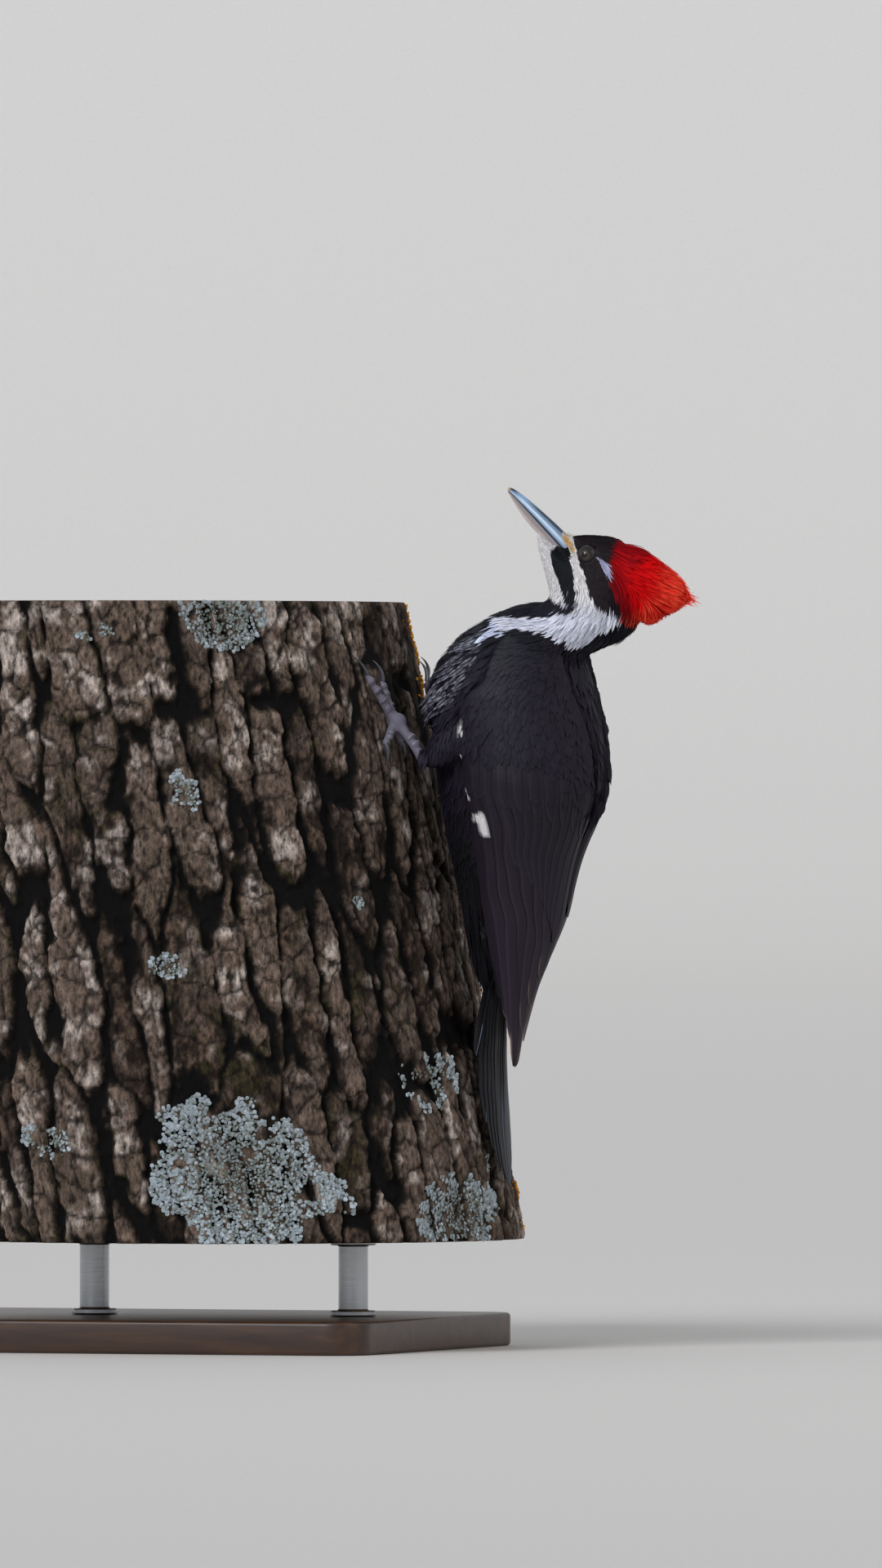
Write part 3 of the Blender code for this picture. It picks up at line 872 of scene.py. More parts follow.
        mask = (above > self.along(self.mask_edge, ahead)) & (below < 40) & (behind > -40)
        result[mask] = Tone.CROWN.rgb
        within = self.along(self.red_edge, above) - ahead
        red = mask & (within > 0)
        # Painted shade: the red darkens towards the crest's front edge and in a crease across the crest.
        deep = ease(22.0, 1.0, within + 3 * rough)
        crease_shade = 0.6 * ease(9, 12, above) * ease(21, 18, above) * ease(-13, -15, ahead) * (ahead > -27)
        deep = np.maximum(deep, crease_shade)[:, None]
        result = np.where(red[:, None], blend(Tone.RED.rgb, Tone.SHADED_RED.rgb, deep), result)
        # The white streak behind the eye, drawn in its shaded lilac grey: painted shade.
        result[mask & (self.behind_eye.depth(ahead, above) > 0)] = Tone.SHADED_LILAC.rgb
        result[(self.nasal_tuft.depth(ahead, above) > 0) & (side > 3)] = Tone.BUFF.rgb

        return result

    def wing_white(self, points: Array) -> Array:
        """How much of each place is a white mark of the wing's leading edge, from 0 to 1.

        Args:
            points: Places on the wing.

        Returns:
            A share for each place.
        """
        behind = (points[:, 0] - self.body.brow[0]) / MM
        below = (self.body.brow[2] - points[:, 2]) / MM
        inside = np.max([fleck.depth(behind, below) for fleck in self.wing_flecks], axis=0)
        return ease(-0.3, 0.3, inside) * (np.abs(points[:, 1]) > self.wing_side * MM) * (below > 80)


# ---------------------------------------------------------------- skin


class Region(Enum):
    """Regions of the skin: the solids that each is made of, and the depth of the coat over it in mm."""

    HEAD = ("head",), 1.0
    CREST = ("crest",), 2.4
    NECK = ("neck",), 2.0
    BREAST = ("breast",), 2.6
    BACK = ("back",), 2.8
    BELLY = ("belly",), 2.8
    RUMP = ("rump",), 3.0
    THIGH = ("thigh_left", "thigh_right"), 1.6
    WING = ("wing_left_coverts", "wing_right_coverts"), 1.1
    LEG = tuple(
        f"{part}_{side}{end}"
        for side in ("left", "right")
        for part, end in (("tarsus", ""), ("foot", ""), *(("toe", f"_{n}") for n in (1, 2, 3, 4)))
    ), 0.15

    @property
    def nodes(self) -> tuple[str, ...]:
        """The solids of this region."""
        return self.value[0]

    @property
    def depth(self) -> float:
        """The depth of the coat, in metres."""
        return self.value[1] * MM


@dataclass
class Limb:
    """One length of the body for the unwrap: a line through it, and its tile of the map."""

    line: Array
    tile: tuple[float, float, float, float]
    thickness: float

    def measure(self, points: Array) -> tuple[Array, Array, Array]:
        """Measures points against the line.

        Args:
            points: Places on the skin.

        Returns:
            The share of the way along, the angle round the line, and the distance from the limb.
        """
        lengths = np.linalg.norm(np.diff(self.line, axis=0), axis=1)
        starts = np.concatenate(([0.0], np.cumsum(lengths)))
        best = np.full(len(points), 1e9)
        share = np.zeros(len(points))
        angle = np.zeros(len(points))
        for start, end, length, gone in zip(self.line, self.line[1:], lengths, starts):
            along = (end - start) / length
            place = np.clip((points - start) @ along, 0, length)
            away = points - start - place[:, None] * along
            gap = np.linalg.norm(away, axis=1)
            side = unit(np.cross(np.cross(along, ACROSS), along))
            up = np.cross(side, along)
            closer = gap < best
            best = np.where(closer, gap, best)
            share = np.where(closer, (gone + place) / starts[-1], share)
            angle = np.where(closer, np.arctan2(away @ side, away @ up), angle)
        return share, angle / (2 * math.pi), best - self.thickness

    def place(self, share: Array, turn: Array) -> Array:
        """The place on the map for a share along the line and a turn from -0.5 to 0.5."""
        left, low, width, height = self.tile
        return np.stack((left + width * (0.5 + 0.9 * turn), low + height * share), axis=-1)


@dataclass
class Skin:
    """One skin for the whole bird: the solids of flesh grown together, smoothed and thinned."""

    body: Body
    bill: "Bill"
    voxel: float = 1.1 * MM
    seam: float = 0.25 * MM
    lid_height: float = 0.5 * MM
    lid_reach: float = 4.3 * MM
    lid_root: float = 1.4 * MM
    eye_opening: tuple[float, float] = (2.8 * MM, 2.5 * MM)
    socket: tuple[float, float] = (8.0 * MM, 5.6 * MM)
    finer_reaches: tuple[float, float] = (9.0 * MM, 7.5 * MM)
    face_depth: float = 0.7 * MM
    smooth_rounds: int = 4
    blend_rounds: int = 6

    def build(self, marks: Marks) -> None:
        """Grows, shapes, colours and unwraps the skin, then adds it as a piece.

        Args:
            marks: The bird's markings, which colour the skin.
        """
        mesh = self.grown_together()
        self.label(mesh)
        self.thin(mesh, marks)
        mesh = self.finer_round_eyes(mesh)
        self.shape_lids(mesh)
        self.label(mesh)
        self.read(mesh)
        self.unwrap()
        points = self.points
        white = marks.wing_white(points)[:, None]
        colours = blend(marks.colours(points), Tone.WHITE.rgb, white)
        eye = np.array((self.body.eye[0], 0, self.body.eye[2]))
        near_eye = np.linalg.norm((points - eye)[:, [0, 2]], axis=1) < self.lid_reach
        lids = near_eye & (np.abs(points[:, 1]) > self.body.eye_side)
        colours[lids] = Tone.EYE_SKIN.rgb
        colours[self.point_regions == list(Region).index(Region.LEG)] = Tone.FOOT.rgb
        paint(mesh, colours)
        map_corners(mesh, BAKE_LAYER, self.corner_places)
        mesh.shade_smooth()
        nodes = [node for region in Region for node in region.nodes if region is not Region.CREST]
        add_piece("skin", mesh, SkinFinish().make(), nodes)

    def grown_together(self) -> Mesh:
        """Joins the solids of flesh, each grown by a hair, into one closed surface.

        Returns:
            The closed surface.
        """
        whole = bmesh.new()
        for region in Region:
            for node in region.nodes:
                part = bmesh.new()
                part.from_mesh(solid(node))
                bmesh.ops.remove_doubles(part, verts=part.verts, dist=1e-6)
                part.normal_update()
                for vertex in part.verts:
                    vertex.co += vertex.normal * self.seam
                carrier = bpy.data.meshes.new("carrier")
                part.to_mesh(carrier)
                part.free()
                whole.from_mesh(carrier)
                bpy.data.meshes.remove(carrier)
        source = bpy.data.meshes.new("flesh")
        whole.to_mesh(source)
        whole.free()
        carrier = show("flesh", source)
        remesh = carrier.modifiers.new("grow_together", "REMESH")
        remesh.mode = "VOXEL"
        remesh.voxel_size = self.voxel
        remesh.adaptivity = 0.0
        graph = bpy.context.evaluated_depsgraph_get()
        mesh = bpy.data.meshes.new_from_object(carrier.evaluated_get(graph))
        bpy.data.objects.remove(carrier)
        bpy.data.meshes.remove(source)
        bm = bmesh.new()
        bm.from_mesh(mesh)
        self.keep_largest(bm)
        axes = {"use_axis_x": True, "use_axis_y": True, "use_axis_z": True}
        for _ in range(self.smooth_rounds):
            bmesh.ops.smooth_vert(bm, verts=bm.verts, factor=0.5, **axes)
        bm.to_mesh(mesh)
        bm.free()
        return mesh

    def keep_largest(self, bm: BMesh) -> None:
        """Deletes every closed pocket but the outer skin.

        Args:
            bm: The surface and its pockets.
        """
        bm.verts.ensure_lookup_table()
        seen = set()
        groups = []
        for first in bm.verts:
            if first in seen:
                continue
            group = [first]
            seen.add(first)
            for vertex in group:
                for edge in vertex.link_edges:
                    other = edge.other_vert(vertex)
                    if other not in seen:
                        seen.add(other)
                        group.append(other)
            groups.append(group)
        groups.sort(key=len)
        for group in groups[:-1]:
            bmesh.ops.delete(bm, geom=group, context="VERTS")

    def label(self, mesh: Mesh) -> None:
        """Finds the region of each point: that of the nearest solid.

        Args:
            mesh: The skin.
        """
        points = []
        faces = []
        owners = []
        for index, region in enumerate(Region):
            for node in region.nodes:
                data = solid(node)
                start = len(points)
                points.extend(vertex.co.copy() for vertex in data.vertices)
                faces.extend([start + corner for corner in face.vertices] for face in data.polygons)
                owners.extend([index] * len(data.polygons))
        tree = BVHTree.FromPolygons(points, faces)
        self.point_regions = np.array([owners[tree.find_nearest(v.co)[2]] for v in mesh.vertices])

    def thin(self, mesh: Mesh, marks: Marks) -> None:
        """Moves the skin inwards by the coat's depth, blended between regions.

        Args:
            mesh: The skin.
            marks: The markings, for the line where the feathers of the face meet the bill.
        """
        points = read_values(mesh.vertices, "co", 3)
        normals = read_values(mesh.vertices, "normal", 3)
        edges = read_values(mesh.edges, "vertices", 2, np.int32)
        count = len(points)
        depth = np.array([region.depth for region in Region])[self.point_regions]
        ahead, _ = self.body.head_place(points)
        depth = np.where(ahead > 4, np.minimum(depth, self.face_depth), depth)
        values = np.concatenate((normals, depth[:, None]), axis=1)
        shares = np.bincount(edges.ravel(), minlength=count)[:, None]
        first, second = edges.T
        for _ in range(self.blend_rounds):
            pairs = [(column[first], column[second]) for column in values.T]
            sums = [np.bincount(first, b, count) + np.bincount(second, a, count) for a, b in pairs]
            values = 0.5 * values + 0.5 * np.stack(sums, axis=1) / shares
        points -= unit(values[:, :3]) * (values[:, 3:] + self.seam)
        points[:, 1] = self.meet_bill(points, marks)
        move_points(mesh, points)

    def meet_bill(self, points: Array, marks: Marks) -> Array:
        """Draws the face in towards the bill, and into the horn past the line where its feathers end.

        Args:
            points: Places on the skin.
            marks: The markings, for that line.

        Returns:
            The y of each place.
        """
        ahead, above = self.body.head_place(points)
        short = marks.along(marks.bill_line, above) - ahead
        horn = self.bill.half_width(ahead, above)
        before = np.maximum(horn, 4.0 * MM) + (0.1 + 0.6 * short) * MM
        widest = np.where(short > 0, before, np.maximum(horn - 0.9 * MM, 0.2 * MM))
        share = ease(-14.4, -13.2, above) * ease(3.0, 5.0, ahead)
        side = np.abs(points[:, 1])
        drawn = side + (np.minimum(side, widest) - side) * share
        return np.sign(points[:, 1]) * drawn

    def finer_round_eyes(self, mesh: Mesh) -> Mesh:
        """Subdivides the skin near both eyes, where the lids are.

        Args:
            mesh: The skin.

        Returns:
            The finer skin.
        """
        bm = bmesh.new()
        bm.from_mesh(mesh)
        for side in (-1, 1):
            centre = Vector(self.body.eye) + Vector((0, side * self.body.eye_side, 0))
            for reach in self.finer_reaches:
                near = [edge for edge in bm.edges if all((v.co - centre).length < reach for v in edge.verts)]
                bmesh.ops.subdivide_edges(bm, edges=near, cuts=1, use_grid_fill=True, smooth=0.0)
        bmesh.ops.triangulate(bm, faces=[face for face in bm.faces if len(face.verts) > 4])
        bm.to_mesh(mesh)
        bm.free()
        return mesh

    def shape_lids(self, mesh: Mesh) -> None:
        """Wraps the skin round each eyeball as two lids with an almond opening.

        Args:
            mesh: The skin.
        """
        points = read_values(mesh.vertices, "co", 3)
        for side in (-1, 1):
            centre = self.body.eye + ACROSS * side * self.body.eye_side
            away = points - centre
            reach = np.linalg.norm(away, axis=1)
            outward = away @ ACROSS * side
            ahead = away @ self.body.forward
            above = away @ self.body.upward
            opening = np.hypot(ahead / self.eye_opening[0], above / self.eye_opening[1])
            flat = np.hypot(ahead, above)
            rim = np.exp(-(((opening - 1.18) / 0.22) ** 2))
            inner = (self.lid_root + self.lid_height) * ease(0.86, 1.0, opening) - self.lid_root
            height = np.where(opening < 1.0, inner, 0.1 * MM + self.lid_height * rim)
            ray = away / np.maximum(reach, 1e-9)[:, None]
            target = centre + ray * (self.body.eye_radius + height)[:, None]
            share = ease(*self.socket, flat) * (outward > 0.5 * MM) * (reach < 11 * MM)
            points = points + (target - points) * share[:, None]
        move_points(mesh, points)

    def read(self, mesh: Mesh) -> None:
        """Reads the finished surface into arrays, and prepares the search for nearest places.

        Args:
            mesh: The finished skin.
        """
        self.points = read_values(mesh.vertices, "co", 3)
        mesh.calc_loop_triangles()
        self.triangles = read_values(mesh.loop_triangles, "vertices", 3, np.int32)
        corners = self.points[self.triangles]
        self.centres = corners.mean(axis=1)
        crossed = np.cross(corners[:, 1] - corners[:, 0], corners[:, 2] - corners[:, 0])
        self.areas = np.linalg.norm(crossed, axis=1) / 2
        self.normals = unit(read_values(mesh.vertices, "normal", 3)[self.triangles].mean(axis=1))
        self.regions = self.point_regions[self.triangles[:, 0]]
        self.tree = BVHTree.FromPolygons(self.points.tolist(), self.triangles.tolist())
        totals = read_values(mesh.polygons, "loop_total", kind=np.int32)
        self.face_of_loop = np.repeat(np.arange(len(totals)), totals)
        self.loops = read_values(mesh.loops, "vertex_index", kind=np.int32)
        self.face_centres = read_values(mesh.polygons, "center", 3)

    def limbs(self) -> list[Limb]:
        """The lines that the map is laid out along.

        Returns:
            The lines of the body, the crest and both legs.
        """
        result = [Limb(self.body.spine, (0.01, 0.02, 0.74, 0.96), 0.020)]
        crest = np.array((box_centre("head") + (0.006, 0, 0.004), self.body.crest_tip))
        result.append(Limb(crest, (0.77, 0.76, 0.22, 0.22), 0.012))
        row = 0
        for side in ("left", "right"):
            thigh = box_centre(f"thigh_{side}")
            heel = box_centre(f"tarsus_{side}")
            foot = box_centre(f"foot_{side}")
            lines = [(thigh, heel, 0.008), (heel, foot, 0.002)]
            for number in (1, 2, 3, 4):
                lines.append((foot, 2 * box_centre(f"toe_{side}_{number}") - foot, 0.002))
            for start, end, thickness in lines:
                tile = (0.77, 0.02 + 0.06 * row, 0.22, 0.05)
                result.append(Limb(np.array((start, end)), tile, thickness))
                row += 1
        return result

    def map_places(self, points: Array, owner: Array, turns: Array) -> Array:
        """Places on the map for points whose limb and rough turn round it are known.

        Args:
            points: Places on the skin.
            owner: The limb of each place.
            turns: Its rough turn.

        Returns:
            The places on the map.
        """
        places = np.zeros((len(points), 2))
        for index, limb in enumerate(self.limbs()):
            mine = owner == index
            if not mine.any():
                continue
            share, turn, _ = limb.measure(points[mine])
            turn = turns[mine] + (turn - turns[mine] + 0.5) % 1.0 - 0.5
            places[mine] = limb.place(share, turn)
        return places

    def owners(self, points: Array) -> tuple[Array, Array]:
        """The limb that each point belongs to, and its turn round that limb.

        Args:
            points: Places on the skin.

        Returns:
            The limb's number and the turn, for each place.
        """
        best = np.full(len(points), 1e9)
        owner = np.zeros(len(points), int)
        turns = np.zeros(len(points))
        for index, limb in enumerate(self.limbs()):
            _, turn, gap = limb.measure(points)
            closer = gap < best
            best = np.where(closer, gap, best)
            owner = np.where(closer, index, owner)
            turns = np.where(closer, turn, turns)
        return owner, turns

    def unwrap(self) -> None:
        """Maps the skin round the lines of its limbs, with the seam under the belly."""
        owner, turns = self.owners(self.face_centres)
        faces = self.face_of_loop
        self.corner_places = self.map_places(self.points[self.loops], owner[faces], turns[faces])

    def map_of(self, points: Array) -> Array:
        """The places of single points on the skin's map."""
        owner, turns = self.owners(points)
        return self.map_places(points, owner, turns)

    def nearest(self, points: Array) -> tuple[Array, Array]:
        """The nearest places on the skin and its smooth normals there.

        Args:
            points: Places near the skin.

        Returns:
            The nearest places and the normals.
        """
        found = [self.tree.find_nearest(point) for point in points.tolist()]
        places = np.array([hit[0] for hit in found])
        normals = self.normals[np.array([hit[2] for hit in found])]
        return places, normals


# ---------------------------------------------------------------- small feathers


@dataclass(frozen=True)
class FeatherShape:
    """A small closed feather: a flat section swept from root to tip."""

    sides: int
    rows: int
    root_width: float
    widest: float
    tip_width: float
    round_tip: float
    thickness: float

    def width(self, share: float) -> float:
        """The half width at a share of the length, for a full half width of 1.

        Args:
            share: The share of the length, from root to tip.

        Returns:
            The half width.
        """
        rise = self.root_width + (1 - self.root_width) * math.sin(min(share / self.widest, 1) * math.pi / 2)
        fall = max(share - self.widest, 0) / (1 - self.widest)
        return rise * (1 - (1 - self.tip_width) * fall**2)

    def model(self) -> tuple[Array, Array]:
        """Builds the feather.

        Returns:
            Points as across, along and up, and triangles.
        """
        cuts = (row / self.rows for row in range(1, self.rows))
        bm = cut_rod(self.sides, cuts, math.pi / 2 if self.sides == 3 else 0.0)
        for vertex in bm.verts:
            across, up, along = vertex.co
            width = self.width(along)
            shorter = self.round_tip * across**2 * along**4
            vertex.co = (across * width, along - shorter, up * self.thickness * (0.4 + 0.6 * width))
        return arrays_of(bm)


class Shape(Enum):
    """The kinds of small feather."""

    BRISTLE = FeatherShape(3, 4, 0.6, 0.35, 0.12, 0.0, 0.10 * MM)
    LOCK = FeatherShape(3, 5, 0.5, 0.45, 0.15, 0.0, 0.12 * MM)
    VANE = FeatherShape(6, 5, 0.35, 0.60, 0.55, 0.22, 0.10 * MM)
    LANCE = FeatherShape(4, 7, 0.45, 0.40, 0.06, 0.0, 0.14 * MM)
    PLUME = FeatherShape(4, 7, 0.5, 0.5, 0.10, 0.0, 0.08 * MM)


@dataclass
class Tract:
    """A feather tract: where it grows, how closely, and the size and lift of its feathers in mm."""

    name: str
    shape: Shape
    where: Callable[[Skin, Array], Array]
    spacing: float
    length: tuple[float, float]
    width: float
    rise: float
    seed: int
    finish: str = "soft"
    slot: str = "plumage_black"
    spread: float = 7.0
    size_at: Callable[[Array], Array] | None = None
    heading: Callable[[Array, Array], Array] | None = None
    tip_light: float = 0.35
    bars: bool = False
    colour_at: float = 0.8


class Coat:
    """Grows tracts of feathers over the skin and joins each into pieces."""

    tries_per_feather = 5
    closest = 0.55
    camber = 0.10

    def __init__(self, skin: Skin, marks: Marks) -> None:
        """Keeps the skin, the marks and the finishes.

        Args:
            skin: The skin to grow on.
            marks: The bird's markings.
        """
        self.skin = skin
        self.marks = marks
        self.finishes = {
            "fine": FeatherFinish("face_feathers", roughness=0.7, contrast=0.22, barb_width_mm=0.3).make(),
            "soft": FeatherFinish("body_feathers").make(),
            "crest": FeatherFinish(
                "crest_feathers", roughness=0.6, gloss=0.05, sheen=0.02, sheen_colour="#ff2a18", contrast=0.35
            ).make(),
            "wing": FeatherFinish("wing_coverts", roughness=0.52, contrast=0.3).make(),
        }

    def roots(self, tract: Tract) -> tuple[Array, Array]:
        """Chooses roots over a tract, evenly spread.

        Args:
            tract: The tract.

        Returns:
            Places and normals.
        """
        draw = np.random.default_rng(tract.seed)
        skin = self.skin
        inside = np.flatnonzero(tract.where(skin, skin.centres))
        areas = skin.areas[inside]
        spacing = tract.spacing * MM
        tries = int(areas.sum() / spacing**2 * self.tries_per_feather)
        chosen = inside[draw.choice(len(inside), tries, p=areas / areas.sum())]
        weights = draw.dirichlet((1, 1, 1), tries)
        points = np.einsum("nc,nck->nk", weights, skin.points[skin.triangles[chosen]])
        sizes = tract.size_at(points) if tract.size_at else np.ones(tries)
        closer = spacing * np.maximum(sizes, self.closest)
        cells = {}
        kept = []
        for index, (point, reach) in enumerate(zip(points.tolist(), closer.tolist())):
            x, y, z = (int(value // spacing) for value in point)
            around = (cells.get((x + dx, y + dy, z + dz), ()) for dx, dy, dz in product((-1, 0, 1), repeat=3))
            if all(math.dist(point, other) >= reach for cell in around for other in cell):
                cells.setdefault((x, y, z), []).append(point)
                kept.append(index)
        return points[kept], skin.normals[chosen[kept]]

    def walk(
        self, roots: Array, normals: Array, headings: Array, lengths: Array, rows: int
    ) -> tuple[Array, Array]:
        """Lays each feather's shaft over the skin; it leaves the skin where that turns away.

        Args:
            roots: Where the feathers grow.
            normals: The skin's normals there.
            headings: The way each feather starts.
            lengths: The length of each feather.
            rows: How many steps to take.

        Returns:
            Places and normals along each shaft.
        """
        path = np.empty((len(roots), rows + 1, 3))
        ups = np.empty_like(path)
        here, up, along = roots, normals, headings
        for row in range(rows + 1):
            path[:, row] = here
            ups[:, row] = up
            if row == rows:
                break
            ahead = here + along * (lengths / rows)[:, None]
            near, near_up = self.skin.nearest(ahead)
            gap = np.linalg.norm(near - ahead, axis=1)
            follows = (dot(near_up, up) > 0.45) & (gap < lengths / rows * 0.7)
            here = np.where(follows[:, None], near, ahead)
            up = np.where(follows[:, None], unit(up + near_up), up)
            turned = self.marks.body.heading(here, up)
            along = flatten(np.where(follows[:, None], 0.6 * along + 0.4 * turned, along), up)
        return path, ups

    def grow(self, tract: Tract) -> None:
        """Grows one tract and adds it as one or more pieces.

        Args:
            tract: The tract.
        """
        draw = np.random.default_rng(tract.seed + 1000)
        roots, normals = self.roots(tract)
        count = len(roots)
        body = self.marks.body
        size = tract.size_at(roots) if tract.size_at else np.ones(count)
        lengths = draw.uniform(*tract.length, count) * MM * size
        widths = tract.width * MM * size * draw.uniform(0.85, 1.15, count)
        headings = tract.heading(roots, normals) if tract.heading else body.heading(roots, normals)
        turn = np.radians(draw.normal(0, tract.spread, count))[:, None]
        headings = headings * np.cos(turn) + np.cross(normals, headings) * np.sin(turn)
        shape = tract.shape.value
        if tract.heading:
            steps = np.linspace(0, 1, shape.rows + 1)[None, :, None]
            path = roots[:, None] + headings[:, None] * steps * lengths[:, None, None]
            ups = np.repeat(normals[:, None], shape.rows + 1, axis=1)
        else:
            path, ups = self.walk(roots, normals, headings, lengths, shape.rows)
        template, faces = shape.model()
        rises = tract.rise * MM * size * draw.uniform(0.55, 1.1, count)
        points = self.drape(template, path, ups, widths, rises)
        colours = self.tint(tract, template, path, points, draw)
        places = self.skin.map_of(roots)[:, None] + (template[None, :, :2] * (0.5, 1) - (0, 0.5)) * TUFT_PATCH
        vane = template[None, :, :2] * np.stack((widths / 2, lengths), axis=1)[:, None] / MM
        vane = vane + draw.uniform(0, 500, (count, 1, 2))
        per_piece = MOST_TRIANGLES // len(faces)
        parts = math.ceil(count / per_piece)
        order = np.argsort(np.round(roots[:, 1], 4), kind="stable") if parts > 1 else np.arange(count)
        for part, chosen in enumerate(np.array_split(order, parts)):
            name = tract.name if parts == 1 else f"{tract.name}_{part + 1}"
            mesh = joined_mesh(name, points[chosen], faces, colours[chosen])
            map_points(mesh, BAKE_LAYER, places[chosen])
            map_points(mesh, VANE_LAYER, vane[chosen])
            replaced = ("crest",) if tract.name == "crest_feathers" else ()
            add_piece(name, mesh, self.finishes[tract.finish], replaced)

    def drape(self, template: Array, path: Array, ups: Array, widths: Array, rises: Array) -> Array:
        """Bends the template along each shaft.

        Args:
            template: Points as across, along and up.
            path: Places along each shaft.
            ups: Normals along each shaft.
            widths: The width of each feather.
            rises: How far each tip stands off the skin.

        Returns:
            Points by feather and by point of the template.
        """
        rows = path.shape[1] - 1
        share = np.clip(template[:, 1], 0, 1) * rows
        low = np.minimum(share.astype(int), rows - 1)
        part = (share - low)[None, :, None]
        middle = blend(path[:, low], path[:, low + 1], part)
        up = unit(blend(ups[:, low], ups[:, low + 1], part))
        along = unit(path[:, low + 1] - path[:, low])
        side = unit(np.cross(along, up))
        across = (template[:, 0] * 0.5)[None, :, None] * widths[:, None, None]
        lift = (0.06 + 0.94 * np.clip(template[:, 1], 0, 1) ** 0.9)[None, :, None] * rises[:, None, None]
        camber = -self.camber * (template[:, 0] ** 2)[None, :, None] * widths[:, None, None]
        return middle + side * across + up * (lift + camber + template[:, 2][None, :, None])

    def tint(
        self, tract: Tract, template: Array, path: Array, points: Array, draw: np.random.Generator
    ) -> Array:
        """Colours the feathers: one mark for each, paler towards the tip and edges, with painted backlight
        glowing salmon at the crest's rear and lower tips.

        Args:
            tract: The tract.
            template: The feather's points.
            path: Places along each shaft.
            points: The points of every feather.
            draw: The tract's random numbers.

        Returns:
            Linear colours by feather and by point.
        """
        rows = path.shape[1] - 1
        middle = path[:, round(rows * tract.colour_at)]
        base = self.marks.colours(middle)
        base = base * draw.uniform(0.75, 1.25, (len(base), 1))
        colours = np.repeat(base[:, None], len(template), axis=1)
        along = np.clip(template[:, 1], 0, 1)
        light = 1 + tract.tip_light * (along**3 + 0.6 * template[:, 0] ** 2 * along) - 0.25 * (1 - along)
        colours = colours * light[None, :, None]
        # Painted backlight: tips at the crest's rear and lower edge glow salmon red, as if lit from behind.
        red = (base[:, 0] > 4 * base[:, 1]) & (base[:, 0] > 0.1)
        if red.any():
            ends = path[:, -1] - self.marks.body.crest_tip
            rear = ease(21 * MM, 3 * MM, -ends @ self.marks.body.crest_run)
            under = ease(7 * MM, 2 * MM, ends @ self.marks.body.crest_underside)
            share = red * np.maximum(rear, 0.8 * under) * draw.uniform(0.4, 1.0, len(base))
            mix = (share[:, None] * ease(0.35, 1.0, along)[None])[..., None]
            colours = blend(colours, Tone.BACKLIT_RED.rgb, mix)
        if tract.bars:
            strength = self.marks.streaked(path[:, 0]) * draw.uniform(0.4, 1.0, len(base))
            hem = ease(0.80, 0.95, along) + ease(0.55, 0.95, np.abs(template[:, 0])) * ease(0.25, 0.5, along)
            mix = strength[:, None, None] * np.clip(hem, 0, 1)[None, :, None]
            colours = blend(colours, Tone.GREY_WHITE.rgb, mix)
        if tract.finish == "wing":
            white = self.marks.wing_white(points.reshape(-1, 3)).reshape(len(base), -1, 1)
            colours = blend(colours, Tone.WHITE.rgb, white)
        return np.clip(colours, 0.0, 1.0)


def in_regions(*regions: Region) -> Callable[[Skin, Array], Array]:
    """A test for skin in any of some regions."""
    numbers = [list(Region).index(region) for region in regions]
    return lambda skin, centres: np.isin(skin.regions, numbers)


